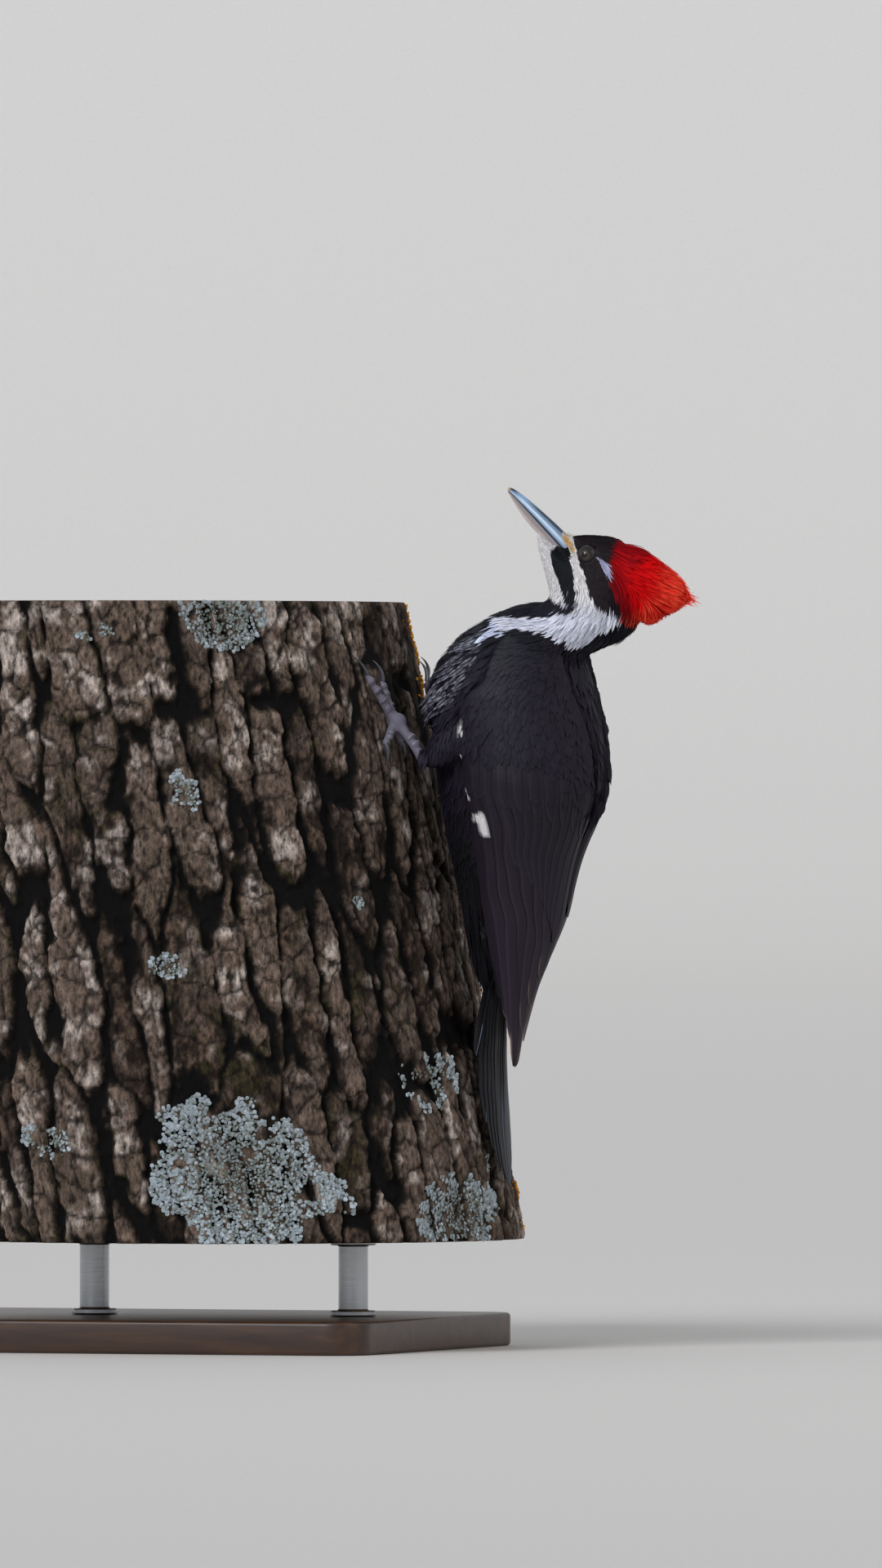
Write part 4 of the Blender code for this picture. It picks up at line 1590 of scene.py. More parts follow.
class Plumage:
    """All the small feathers of the bird, tract by tract."""

    eye_room_mm = 3.8
    fringe_mm = 31.0
    under_tail_reach = 48 * MM
    plume_reach = 38 * MM

    def __init__(self, body: Body, coat: Coat) -> None:
        """Keeps the bird's frame and the coat to grow.

        Args:
            body: The bird's frame.
            coat: The coat.
        """
        self.body = body
        self.coat = coat
        self.rump_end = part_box("rump")[0].z

    def eye_gap(self, points: Array) -> Array:
        """Distance from the eye as seen from the side, in millimetres."""
        return np.linalg.norm((points - self.body.eye)[:, [0, 2]], axis=1) / MM

    def is_crest(self, skin: Skin, centres: Array) -> Array:
        """Skin that carries the long red feathers.

        Args:
            skin: The skin.
            centres: The middles of its triangles.

        Returns:
            A choice of triangles.
        """
        ahead, above = self.body.head_place(centres)
        marks = self.coat.marks
        beyond = ahead < marks.along(marks.red_edge, above) + 0.8
        head = in_regions(Region.HEAD, Region.CREST)(skin, centres)
        return head & beyond & (above > marks.along(marks.mask_edge, ahead) - 1)

    def is_fringe(self, skin: Skin, centres: Array) -> Array:
        """The rear of the crest, where loose tips stand out."""
        room = (self.body.crest_tip - centres) @ self.body.crest_run / MM
        return self.is_crest(skin, centres) & (room < self.fringe_mm)

    def is_face(self, skin: Skin, centres: Array) -> Array:
        """Skin of the head outside the crest and the lids, back from the bill.

        Args:
            skin: The skin.
            centres: The middles of its triangles.

        Returns:
            A choice of triangles.
        """
        ahead, above = self.body.head_place(centres)
        marks = self.coat.marks
        bare = (ahead > marks.along(marks.bill_line, above)) & (above > -13.4)
        head = in_regions(Region.HEAD)(skin, centres)
        return head & ~bare & ~self.is_crest(skin, centres) & (self.eye_gap(centres) > self.eye_room_mm)

    def face_size(self, points: Array) -> Array:
        """Feathers grow from tiny at the bill and eye to full size at the back of the head.

        Args:
            points: Places on the face.

        Returns:
            A factor of the full size for each place.
        """
        ahead, _ = self.body.head_place(points)
        from_bill = ease(20.0, -12.0, ahead)
        from_eye = ease(self.eye_room_mm, 11.0, self.eye_gap(points))
        return 0.55 + 0.45 * from_bill * from_eye + 0.25 * ease(-8.0, -30.0, ahead)

    def is_nasal(self, skin: Skin, centres: Array) -> Array:
        """Skin beside the bill's root, with bristles over the nostrils.

        Args:
            skin: The skin.
            centres: The middles of its triangles.

        Returns:
            A choice of triangles.
        """
        ahead, above = self.body.head_place(centres)
        inside = self.coat.marks.nasal_tuft.depth(ahead, above) > -0.5
        return in_regions(Region.HEAD)(skin, centres) & inside & (np.abs(centres[:, 1]) > 3 * MM)

    def crest_size(self, points: Array) -> Array:
        """Crest feathers end together at the crest's tip."""
        room = (self.body.crest_tip - points) @ self.body.crest_run / MM
        return np.clip((room - 3.0) / 17.0, 0.25, 1.0)

    def nasal_heading(self, points: Array, normals: Array) -> Array:
        """Bristles that point forward along the bill."""
        return flatten(np.tile(self.body.forward, (len(points), 1)), normals)

    def flank_heading(self, points: Array, normals: Array) -> Array:
        """Feathers of the barred flank sweep down towards the trunk."""
        return flatten(np.tile((-0.81, 0.0, -0.59), (len(points), 1)), normals)

    def is_under_tail(self, skin: Skin, centres: Array) -> Array:
        """The side of the rump and lower belly that faces the trunk, above the tail."""
        rear = in_regions(Region.RUMP, Region.BELLY)(skin, centres) & (skin.normals[:, 0] < 0.1)
        return rear & (centres[:, 2] < self.rump_end + self.under_tail_reach) & self.is_clear(skin, centres)

    def is_clear(self, skin: Skin, centres: Array) -> Array:
        """Skin away from the cut end of the body, over the tail's root."""
        return (centres[:, 2] > self.rump_end + 4 * MM) & (skin.normals[:, 2] > -0.6)

    def down_heading(self, points: Array, normals: Array) -> Array:
        """Feathers that hang straight down over the root of the tail."""
        return flatten(np.tile((0.1, 0.0, -1.0), (len(points), 1)), normals)

    def is_torso(self, skin: Skin, centres: Array) -> Array:
        """The breast and the belly."""
        return in_regions(Region.BREAST, Region.BELLY)(skin, centres) & self.is_clear(skin, centres)

    def is_back(self, skin: Skin, centres: Array) -> Array:
        """The back and the rump."""
        return in_regions(Region.BACK, Region.RUMP)(skin, centres) & self.is_clear(skin, centres)

    def is_flank(self, skin: Skin, centres: Array) -> Array:
        """The barred patch before the wing."""
        torso = in_regions(Region.BREAST, Region.NECK, Region.BELLY)(skin, centres)
        return torso & (self.coat.marks.streaked(centres) > 0.05)

    def is_loose(self, *regions: Region) -> Callable[[Skin, Array], Array]:
        """A test for skin of some regions that carries loose plumes: all of it above the tail's root.

        Args:
            *regions: The regions.

        Returns:
            The test.
        """
        inside = in_regions(*regions)
        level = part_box("tail")[1].z + self.plume_reach
        return lambda skin, centres: inside(skin, centres) & (centres[:, 2] > level)

    def wing_size(self, points: Array) -> Array:
        """Coverts grow from the wrist towards the flight feathers."""
        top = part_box("wing_left_coverts")[1].z
        return 0.55 + 0.45 * ease(top - 0.004, top - 0.070, points[:, 2])

    def build(self) -> None:
        """Grows every tract."""
        tracts = (
            Tract("face_feathers", Shape.BRISTLE, self.is_face, 0.85, (4.0, 5.5), 0.95, 0.75, 1, "fine",
                  size_at=self.face_size, tip_light=0.2, spread=6),
            Tract("nasal_bristles", Shape.BRISTLE, self.is_nasal, 0.55, (4.0, 6.5), 0.45, 0.7, 2, "fine",
                  heading=self.nasal_heading, tip_light=0.1, colour_at=0.0),
            Tract("crest_feathers", Shape.LANCE, self.is_crest, 1.0, (12.5, 18.5), 1.3, 2.6, 3, "crest",
                  "plumage_red", spread=7, tip_light=0.3, size_at=self.crest_size),
            Tract("crest_fringe", Shape.PLUME, self.is_fringe, 1.1, (6.5, 11.5), 0.5, 2.8, 12, "crest",
                  "plumage_red", spread=16, tip_light=0.6),
            Tract("neck_feathers", Shape.LOCK, in_regions(Region.NECK), 1.15, (7.5, 10.5), 1.6, 1.5, 4,
                  "fine", "plumage_white", spread=8, tip_light=0.2),
            Tract("flank_feathers", Shape.VANE, self.is_flank, 3.1, (13.0, 17.0), 3.3, 2.4, 5, bars=True,
                  tip_light=0.1, heading=self.flank_heading, spread=5),
            Tract("under_tail_coverts", Shape.VANE, self.is_under_tail, 3.4, (46.0, 56.0), 8.0, 2.0, 13,
                  heading=self.down_heading, spread=4),
            Tract("belly_feathers", Shape.VANE, self.is_torso, 2.9, (13.0, 16.0), 6.0, 2.0, 6),
            Tract("back_feathers", Shape.VANE, self.is_back, 3.0, (16.0, 20.0), 6.0, 2.2, 7),
            Tract("back_plumes", Shape.PLUME, self.is_loose(Region.BACK, Region.RUMP), 2.6, (18.0, 26.0), 0.9,
                  2.9, 8, spread=9),
            Tract("belly_plumes", Shape.PLUME, self.is_loose(Region.BREAST, Region.BELLY), 2.8, (12.0, 18.0),
                  0.8, 2.6, 9, spread=9),
            Tract("thigh_feathers", Shape.LOCK, in_regions(Region.THIGH), 1.7, (8.0, 11.0), 2.2, 1.4, 10),
            Tract("wing_coverts", Shape.VANE, in_regions(Region.WING), 2.5, (11.0, 14.5), 5.0, 1.3, 11,
                  "wing", size_at=self.wing_size, tip_light=0.08),
        )
        for tract in tracts:
            self.coat.grow(tract)


# ---------------------------------------------------------------- flight feathers


class Sheet:
    """The outer face of a thin bowed solid, such as a folded wing, read level by level from the solids."""

    columns = 40
    levels = 60
    bins = 150

    def __init__(self, nodes: Sequence[str], behind: float, side: float, mirror: float) -> None:
        """Slices the solids and evens out their facets.

        Args:
            nodes: The solids.
            behind: How far the line that the sheet bows away from lies on the log's side of its middle.
            side: The y of that line.
            mirror: 1 to run from the back to the left side, -1 to run to the right side.
        """
        self.mirror = mirror
        corners = np.concatenate([self.corners_of(node) for node in nodes])
        self.low = corners[..., 2].min() + 0.2 * MM
        self.high = corners[..., 2].max() - 0.2 * MM
        self.heights = np.linspace(self.low, self.high, self.levels)
        slices = [self.slice_at(corners, height, behind, side) for height in self.heights]
        table = np.array([line for line, _ in slices])
        self.centres = np.array([centre for _, centre in slices])
        for _ in range(4):
            table[1:-1] = (table[:-2] + 2 * table[1:-1] + table[2:]) / 4
            table[:, 1:-1] = (table[:, :-2] + 2 * table[:, 1:-1] + table[:, 2:]) / 4
        levels = np.repeat(self.heights, self.columns).reshape(-1, self.columns, 1)
        self.table = np.concatenate((table, levels), axis=2)
        self.widths = np.linalg.norm(np.diff(table, axis=1), axis=2).sum(axis=1)

    def corners_of(self, node: str) -> Array:
        """The corners of a solid's triangles.

        Args:
            node: The solid's name.

        Returns:
            The corners, three for each triangle.
        """
        mesh = solid(node)
        mesh.calc_loop_triangles()
        return coordinates(mesh.vertices)[read_values(mesh.loop_triangles, "vertices", 3, np.int32)]

    def slice_at(self, corners: Array, height: float, behind: float, side: float) -> tuple[Array, Array]:
        """Cuts the solids at a height.

        Args:
            corners: The corners of the solids' triangles.
            height: The height.
            behind: How far the centre lies behind the outline's middle.
            side: The y of the centre.

        Returns:
            The outer outline as evenly spaced points, and the centre that it bows away from.
        """
        normals = np.cross(corners[:, 1] - corners[:, 0], corners[:, 2] - corners[:, 0])
        found = []
        facing = []
        for first, second in ((0, 1), (1, 2), (2, 0)):
            start = corners[:, first]
            end = corners[:, second]
            crossed = (start[:, 2] - height) * (end[:, 2] - height) < 0
            start, end = start[crossed], end[crossed]
            share = (height - start[:, 2]) / (end[:, 2] - start[:, 2])
            found.append((start + (end - start) * share[:, None])[:, :2])
            facing.append(normals[crossed, :2])
        points = np.concatenate(found)
        facing = unit(np.concatenate(facing))
        centre = np.array(((points[:, 0].min() + points[:, 0].max()) / 2 - behind, side))
        outer = dot(facing, unit(points - centre)) > 0.2
        points = points[outer]
        away = points - centre
        angle = np.arctan2(-self.mirror * away[:, 1], away[:, 0])
        chosen = {}
        for index in np.argsort(np.linalg.norm(away, axis=1)):
            chosen[int(angle[index] / math.pi * self.bins)] = index
        line = points[[chosen[key] for key in sorted(chosen)]]
        run = np.concatenate(([0.0], np.cumsum(np.linalg.norm(np.diff(line, axis=0), axis=1))))
        even = np.linspace(0, run[-1], self.columns)
        return np.stack([np.interp(even, run, column) for column in line.T], axis=1), centre

    def width(self, heights: Array) -> Array:
        """The distance across the sheet at some heights."""
        return np.interp(heights, self.heights, self.widths)

    def flat(self, shares: Array, heights: Array) -> Array:
        """Places on the sheet, held inside its edges.

        Args:
            shares: Shares of the way across the sheet.
            heights: Heights on it.

        Returns:
            The places, without the curl.
        """
        row = np.clip((heights - self.low) / (self.high - self.low), 0, 1) * (self.levels - 1)
        column = np.clip(shares, 0, 1) * (self.columns - 1)
        r = np.minimum(row.astype(int), self.levels - 2)
        c = np.minimum(column.astype(int), self.columns - 2)
        part = (column - c)[:, None]
        low = blend(self.table[r, c], self.table[r, c + 1], part)
        high = blend(self.table[r + 1, c], self.table[r + 1, c + 1], part)
        return blend(low, high, (row - r)[:, None])

    def at(self, shares: Array, heights: Array) -> tuple[Array, Array]:
        """Places and normals; past an edge the sheet curls inwards.

        Args:
            shares: Shares of the way across.
            heights: Heights.

        Returns:
            The places, and unit normals that point outwards.
        """
        inside = np.clip(shares, 0.02, 0.98)
        place = self.flat(inside, heights)
        across = self.flat(inside + 0.02, heights) - self.flat(inside - 0.02, heights)
        up = self.flat(inside, heights + 1.5 * MM) - self.flat(inside, heights - 1.5 * MM)
        normal = unit(np.cross(up, across)) * self.mirror
        centre = np.stack([np.interp(heights, self.heights, column) for column in self.centres.T], axis=1)
        normal *= np.sign(dot(normal[:, :2], place[:, :2] - centre))[:, None]
        beyond = (shares - inside) * self.width(heights)
        place = place + unit(across) * (beyond * 0.6)[:, None] - normal * (np.abs(beyond) * 0.6)[:, None]
        place[:, 2] += np.minimum(heights - self.low, 0)
        return place, normal


@dataclass(frozen=True)
class Quill:
    """One flight feather: its root and tip as share across and height, its width and its tip's shape."""

    root: tuple[float, float]
    tip: tuple[float, float]
    width: float
    outer_part: float = 0.42
    taper: float = 0.2
    lift: float = 0.4 * MM
    buff: float = 0.0


@dataclass
class FlightFeathers:
    """Large feathers laid over a sheet, each a thin closed vane with a shaft along it."""

    rows: int = 84
    columns: int = 8
    warp: float = 1.15
    thickness: float = 0.22 * MM
    tilt: float = 0.26 * MM
    shaft_radius: float = 0.32 * MM
    root_depth: float = 1.6 * MM
    root_run: float = 22.0 * MM

    def vane_model(self) -> tuple[Array, Array]:
        """A closed flat vane, with its points closer together at the edges and the root.

        Returns:
            The vane's points and its triangles.
        """
        points, faces = plate_model(self.columns, self.rows)
        points[:, 0] = np.sign(points[:, 0]) * np.abs(points[:, 0]) ** 0.6
        points[:, 1] = 1 - (1 - points[:, 1]) ** self.warp
        return points, faces

    def shaft_model(self) -> tuple[Array, Array]:
        """A tapered rod with its length from 0 to 1, and its triangles.

        Returns:
            The rod's points and its triangles.
        """
        cuts = (1 - (1 - row / self.rows) ** self.warp for row in range(1, self.rows))
        points, faces = arrays_of(cut_rod(6, cuts))
        return points[:, (0, 2, 1)], faces

    def lay(self, sheet: Sheet, quill: Quill, model: Array, shaft: bool) -> tuple[Array, Array]:
        """Bends a vane or a shaft over the sheet.

        Args:
            sheet: The surface to lie on.
            quill: The feather.
            model: Points of the vane or the shaft.
            shaft: Whether this is the shaft.

        Returns:
            The points, and their place on the feather in millimetres as across and along.
        """
        across, along, layer = model.T
        heights = quill.root[1] + (quill.tip[1] - quill.root[1]) * along
        middle = quill.root[0] + (quill.tip[0] - quill.root[0]) * along**1.25
        sunk = (self.root_depth + quill.lift) * ease(self.root_run, 0.0, quill.root[1] - heights)
        if shaft:
            radius = self.shaft_radius * (1 - 0.8 * along)
            sideways = across * radius
            raise_by = quill.lift + 0.25 * radius + layer * radius
        else:
            grow = 0.4 + 0.6 * np.minimum(along / 0.25, 1)
            end = np.clip((along - 1 + quill.taper) / quill.taper, 0, 1)
            outer = quill.outer_part
            part = np.where(across > 0, outer, 1 - outer)
            sideways = across * part * quill.width * grow * np.sqrt(1 - end**2 * 0.998)
            raise_by = quill.lift + self.tilt * across - 0.3 * self.tilt * across**2 + layer * self.thickness
        place, normal = sheet.at(middle + sideways / sheet.width(heights), heights)
        length = (quill.root[1] - quill.tip[1]) / MM
        return place + normal * (raise_by - sunk)[:, None], np.stack((sideways / MM, along * length), axis=1)

    def build(
        self,
        name: str,
        sheet: Sheet,
        quills: Sequence[Quill],
        colour_of: Callable[[Quill, Array, Array], Array],
        shaft_tones: tuple[str, str],
        finish: Material,
        replaced: Sequence[str],
    ) -> None:
        """Lays a set of feathers and adds them as one piece.

        Args:
            name: The piece's name.
            sheet: The surface to lie on.
            quills: The feathers.
            colour_of: Gives the colours of a feather for its points and its model.
            shaft_tones: The colours of the shafts, at their roots and over their last third.
            finish: The material.
            replaced: The solids that the piece stands for.
        """
        draw = np.random.default_rng(len(name))
        root, end = (rgb(tone) for tone in shaft_tones)
        models = ((False, *self.vane_model()), (True, *self.shaft_model()))
        points = []
        faces = []
        colours = []
        vanes = []
        start = 0
        for quill, (shaft, model, triangles) in product(quills, models):
            place, vane = self.lay(sheet, quill, model, shaft)
            if shaft:
                colour = root + (end - root) * ease(0.50, 0.72, model[:, 1])[:, None]
            else:
                colour = colour_of(quill, place, model)
                vane = np.stack((vane[:, 1] - np.abs(vane[:, 0]) * 1.3, vane[:, 0] * 1.6), axis=1)
            points.append(place)
            faces.append(triangles + start)
            colours.append(colour)
            vanes.append(vane + draw.uniform(0, 500, 2))
            start += len(place)
        loose = bpy.data.meshes.new("loose")
        loose.from_pydata(np.concatenate(points), [], np.concatenate(faces))
        bm = bmesh.new()
        bm.from_mesh(loose)
        bpy.data.meshes.remove(loose)
        mesh = mesh_from(name, bm)
        paint(mesh, np.concatenate(colours))
        map_points(mesh, VANE_LAYER, np.concatenate(vanes))
        add_piece(name, mesh, finish, replaced)


class Wings:
    """Both folded wings: primaries, secondaries with tertials, and greater coverts."""

    # Heights of the primaries' tips over the wing's tip.
    tip_steps = (49.0 * MM, 34.5 * MM, 21.0 * MM, 11.5 * MM, 1.5 * MM, 12.0 * MM, 27.0 * MM)
    tip_shares = (0.10, 0.18, 0.30, 0.42, 0.52, 0.66, 0.84)
    tertial_step = 68.6 * MM
    # How far the feathers' roots reach above the small coverts' lower edge.
    primary_rise = 14 * MM
    secondary_rise = 15 * MM
    covert_rise = 18 * MM

    def __init__(self, marks: Marks) -> None:
        """Keeps the marks, for the white flecks."""
        self.marks = marks

    def measure(self, side: str) -> None:
        """Reads the heights of a wing's tip and of the slanted lower edge of its small coverts.

        Args:
            side: The wing's side.
        """
        coverts, _, primaries = self.nodes(side)
        self.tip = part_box(primaries)[0].z
        self.back_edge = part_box(coverts)[0].z
        self.front_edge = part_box(primaries)[1].z

    def nodes(self, side: str) -> list[str]:
        """The solids of one wing."""
        return [f"wing_{side}_{part}" for part in ("coverts", "secondaries", "primaries")]

    def edge(self, share: float) -> float:
        """The height of the small coverts' lower edge at a share across."""
        return self.back_edge + (self.front_edge - self.back_edge) * share

    def primaries(self) -> list[Quill]:
        """Seven primaries whose tips step down to the wing's tip.

        Returns:
            The feathers, in the order that they are laid.
        """
        result = []
        for index, (step, across) in reversed(list(enumerate(zip(self.tip_steps, self.tip_shares)))):
            share = index / (len(self.tip_steps) - 1)
            root = 0.38 + 0.58 * share
            result.append(Quill(
                (root, self.edge(root) + self.primary_rise),
                (across, self.tip + step),
                (13.0 - 2.0 * share) * MM,
                outer_part=0.46,
                taper=0.14,
                lift=(0.35 - 0.30 * share + 0.25 * (step < 2 * MM)) * MM,
                buff=1.0 if step < 2 * MM else 0.25,
            ))
        return result

    def secondaries(self) -> list[Quill]:
        """Nine secondaries and tertials; the inner ones lie on top.

        Returns:
            The feathers, in the order that they are laid.
        """
        result = []
        for index in reversed(range(9)):
            share = index / 8
            root = 0.07 + 0.62 * share
            result.append(Quill(
                (root, self.edge(root) + self.secondary_rise),
                (0.10 + 0.46 * share, self.tip + self.tertial_step + 40 * MM * share**0.9),
                (13.5 - 2.5 * share) * MM,
                taper=0.34,
                lift=(0.75 - 0.40 * share) * MM,
            ))
        return result

    def coverts(self) -> list[Quill]:
        """Ten greater coverts.

        Returns:
            The feathers, in the order that they are laid.
        """
        result = []
        for index in reversed(range(10)):
            share = index / 9
            root = 0.05 + 0.88 * share
            result.append(Quill(
                (root, self.edge(root) + self.covert_rise),
                (0.02 + root, self.edge(root) - (20 - 6 * share) * MM),
                11.5 * MM,
                taper=0.45,
                lift=(0.95 - 0.30 * share) * MM,
            ))
        return result

    def colours(self, base: Tone) -> Callable[[Quill, Array, Array], Array]:
        """The colours of wing feathers: brown-black with paler edges, and the white marks.

        Args:
            base: The tone away from the marks.

        Returns:
            A function that colours one feather.
        """

        def of(quill: Quill, points: Array, model: Array) -> Array:
            """Colours one feather.

            Args:
                quill: The feather.
                points: Its places.
                model: The same places on the flat vane.

            Returns:
                A colour for each place.
            """
            across, along, _ = model.T
            edge = np.abs(across) ** 5
            colour = base.rgb * (1 + 1.6 * edge * (0.4 + 0.6 * along) + 0.4 * along**3)[:, None]
            colour = blend(colour, Tone.WHITE.rgb, self.marks.wing_white(points)[:, None])
            rim = ease(0.88, 0.93, along) * ease(0.80, 0.97, np.maximum(np.abs(across), along**70))
            return blend(colour, Tone.BUFF_RIM.rgb, quill.buff * rim[:, None])

        return of

    def build(self) -> None:
        """Builds both wings."""
        finish = FeatherFinish("flight_feathers", roughness=0.48, contrast=0.22, bump=0.3).make()
        for side, mirror in (("left", 1), ("right", -1)):
            self.measure(side)
            nodes = self.nodes(side)
            sheet = Sheet(nodes, 0.0, 0.0, mirror)
            feathers = FlightFeathers()
            dark = ("#131014", "#181417")
            for name, quills, tone, replaced in (
                ("primaries", self.primaries(), Tone.PRIMARY, (nodes[2],)),
                ("secondaries", self.secondaries(), Tone.WING, (nodes[1],)),
                ("greater_coverts", self.coverts(), Tone.WING, ()),
            ):
                feathers.build(f"{name}_{side}", sheet, quills, self.colours(tone), dark, finish, replaced)


class Tail:
    """Twelve stiff pointed tail feathers, the middle pair on top."""

    # Heights of the feathers' tips, from the middle pair outwards.
    tips = (0.0892, 0.0925, 0.0990, 0.1090, 0.1240, 0.1600)

    def quills(self, sheet: Sheet) -> list[Quill]:
        """The feathers from the outermost pair to the middle one.

        Args:
            sheet: The sheet that the tail lies on.

        Returns:
            The feathers.
        """
        result = []
        for (pair, tip), side in product(reversed(list(enumerate(self.tips))), (-1, 1)):
            result.append(Quill(
                (0.5 + side * 0.055 * (pair + 0.5), sheet.high - 2 * MM),
                (0.5 + side * 0.082 * (pair + 0.5), tip),
                (13.5 - 0.9 * pair) * MM,
                outer_part=0.5 + side * 0.06,
                taper=0.42,
                lift=(-0.1 - 0.28 * pair) * MM,
            ))
        return result

    def colours(self, _quill: Quill, _points: Array, model: Array) -> Array:
        """Bluish black, darker than the body's black as painted shade, with slightly paler edges."""
        across, along, _ = model.T
        return Tone.TAIL.rgb * (1 + 0.8 * np.abs(across) ** 5 + 0.5 * along**2)[:, None]

    def build(self) -> None:
        """Builds the tail."""
        low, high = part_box("tail")
        sheet = Sheet(("tail",), 0.09, (low.y + high.y) / 2, 1)
        finish = FeatherFinish("tail_feathers", roughness=0.42, contrast=0.25, bump=0.35).make()
        feathers = FlightFeathers(rows=64, tilt=0.1 * MM, shaft_radius=0.6 * MM, root_depth=0.0)
        tones = ("#131217", "#66707e")
        feathers.build("tail_feathers", sheet, self.quills(sheet), self.colours, tones, finish, ("tail",))


# ---------------------------------------------------------------- bill, eyes and feet


@dataclass
class Bill:
    """A chisel bill in two halves: ridged above, with a groove from each nostril."""

    body: Body
    root_half_width: float = 5.8 * MM
    tip_half_width: float = 1.1 * MM
    culmen_height: float = 6.0 * MM
    gonys_depth: float = 5.5 * MM
    gonys_run: float = 26.0 * MM
    gap: float = 0.12 * MM
    droop: float = 1.7 * MM
    lower_setback: float = 1.0 * MM
    closing_rise: float = 0.15 * MM
    rings: int = 64
    arc_points: int = 33

    def __post_init__(self) -> None:
        """Finds the tip and the length from the solids."""
        points = np.array([vertex.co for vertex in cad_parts["bill_upper"].data.vertices])
        run = points @ self.body.forward
        self.tip = points[np.argmax(run)] * (1, 0, 1)
        self.length = run.max() - run.min()
        line = np.array([vertex.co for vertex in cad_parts["bill_lower"].data.vertices])
        closing = (line @ self.body.upward).max()
        self.tip = self.tip + self.body.upward * (closing + self.closing_rise - self.tip @ self.body.upward)

    def place(self, distance: Array, height: Array, side: Array) -> Array:
        """Places from the distance behind the tip, the height over the closing line and the side."""
        level = np.asarray(height) - self.droop * (np.asarray(distance) / self.length) ** 2
        return (
            self.tip
            - self.body.forward * np.asarray(distance)[..., None]
            + self.body.upward * level[..., None]
            + ACROSS * np.asarray(side)[..., None]
        )

    def half_width(self, ahead: Array, above: Array) -> Array:
        """Half the width of the horn, 0 outside it.

        Args:
            ahead: Millimetres ahead of the brow.
            above: Millimetres above the brow.

        Returns:
            Half widths in metres.
        """
        tip_ahead, tip_above = self.body.head_place(self.tip)
        share = np.clip((tip_ahead - ahead) * MM / self.length, 0, 1)
        level = (above - tip_above) * MM + self.droop * share**2
        height = np.where(level > 0, self.culmen_height * np.maximum(share, 0.01) ** 0.33, self.gonys_depth)
        full = self.tip_half_width + (self.root_half_width - self.tip_half_width) * share**0.9
        return full * np.clip(1 - np.abs(level) / height, 0, 1) ** 0.6

    def half(self, upper: bool) -> tuple[list, Array, Array]:
        """The rings of one half.

        Args:
            upper: Whether this is the upper half.

        Returns:
            The rings, each point's millimetres from the tip, and its share of the height there, or -1
            on the closed side.
        """
        start = 0.0 if upper else self.lower_setback
        rings = []
        along = []
        around = []
        for step in range(self.rings):
            distance = start + (self.length - start) * (step / (self.rings - 1)) ** 1.35
            share = distance / self.length
            half_width = self.tip_half_width + (self.root_half_width - self.tip_half_width) * share**0.9
            if upper:
                height = self.culmen_height * max(share, 0.012) ** 0.33
            else:
                reach = min(1.0, (distance + 0.6 * MM) / self.gonys_run)
                height = 0.5 * MM + (self.gonys_depth - 0.5 * MM) * math.sin(reach * math.pi / 2)
            angle = np.linspace(0, math.pi, self.arc_points)
            side = half_width * np.cos(angle)
            peak = 1.45 if upper else 1.9
            rise = height * (1 - np.abs(np.cos(angle)) ** peak)
            if upper:
                fade = ease(0.35, 0.95, np.array(share))
                level = rise / height
                groove = bell(0.60, 0.10, level) * fade
                ridge = bell(0.40, 0.09, level) * ease(0.1, 0.5, np.array(share))
                side = side * (1 - 0.10 * groove + 0.05 * ridge)
            closed = np.linspace(-0.8, 0.8, 5) * half_width
            sign = 1 if upper else -1
            sides = np.concatenate((side, closed))
            heights = np.concatenate((sign * (self.gap + np.maximum(rise, 0)), np.full(5, sign * self.gap)))
            rings.append(self.place(np.full(len(sides), distance), heights, sides))
            along.append(np.full(len(sides), distance / MM))
            around.append(np.concatenate((rise / height, np.full(5, -1.0))))
        return rings, np.concatenate(along), np.concatenate(around)

    def upper_colours(self, along: Array, level: Array, points: Array) -> Array:
        """Blue-grey with a paler streak, dark ridge lines, a dark tip, and a painted glint of sunlight in
        pale tan on the very end.

        Args:
            along: Millimetres from the bill's tip.
            level: Shares of the height there, or -1 on the closed side.
            points: The places.

        Returns:
            A colour for each place.
        """
        grain = Grain(21).at(points, 1.6 * MM) * 0.12
        colour = np.tile(linear("#7fa1c2"), (len(along), 1))
        layers = (
            ("#cfe0f0", bell(0.40, 0.13, level) * ease(3, 14, along)),
            ("#3c4a5c", bell(0.60, 0.05, level) * ease(8, 20, along) * 0.8),
            ("#262c35", ease(0.68, 0.80, level) * ease(10, 22, along) * 0.95),
            ("#97a3b0", ease(0.90, 0.98, level) * ease(34, 22, along) * 0.6),
            ("#1f242b", ease(9.0, 2.0, along) * ease(0.15, 0.7, level)),
            # Painted glint: pale tan on the very end of the bill, standing for sunlight on its tip.
            ("#c9a468", ease(1.5, 0.4, along)),
            ("#15181d", ease(0.14, 0.02, level) * 0.95),
        )
        for code, share in layers:
            share = np.clip(share + grain * (share > 0.05), 0, 1)[:, None]
            colour = blend(colour, rgb(code), share)
        return colour

    def lower_colours(self, along: Array, level: Array, points: Array) -> Array:
        """Grey-brown beside the closing line, paler and pinkish below.

        Args:
            along: Millimetres from the bill's tip.
            level: Shares of the height there, or -1 on the closed side.
            points: The places.

        Returns:
            A colour for each place.
        """
        grain = Grain(22).at(points, 1.4 * MM)[:, None] * 0.08
        share = np.clip(ease(0.45, 0.85, level)[:, None] + grain, 0, 1)
        colour = blend(rgb("#a19a9f"), rgb("#e6d8d0"), share)
        colour = blend(colour, rgb("#1b1e24"), ease(0.16, 0.02, level)[:, None] * 0.95)
        # Painted glint: pale tan on the tip, standing for sunlight on it.
        return blend(colour, rgb("#c9a468"), ease(3.0, 1.0, along)[:, None])

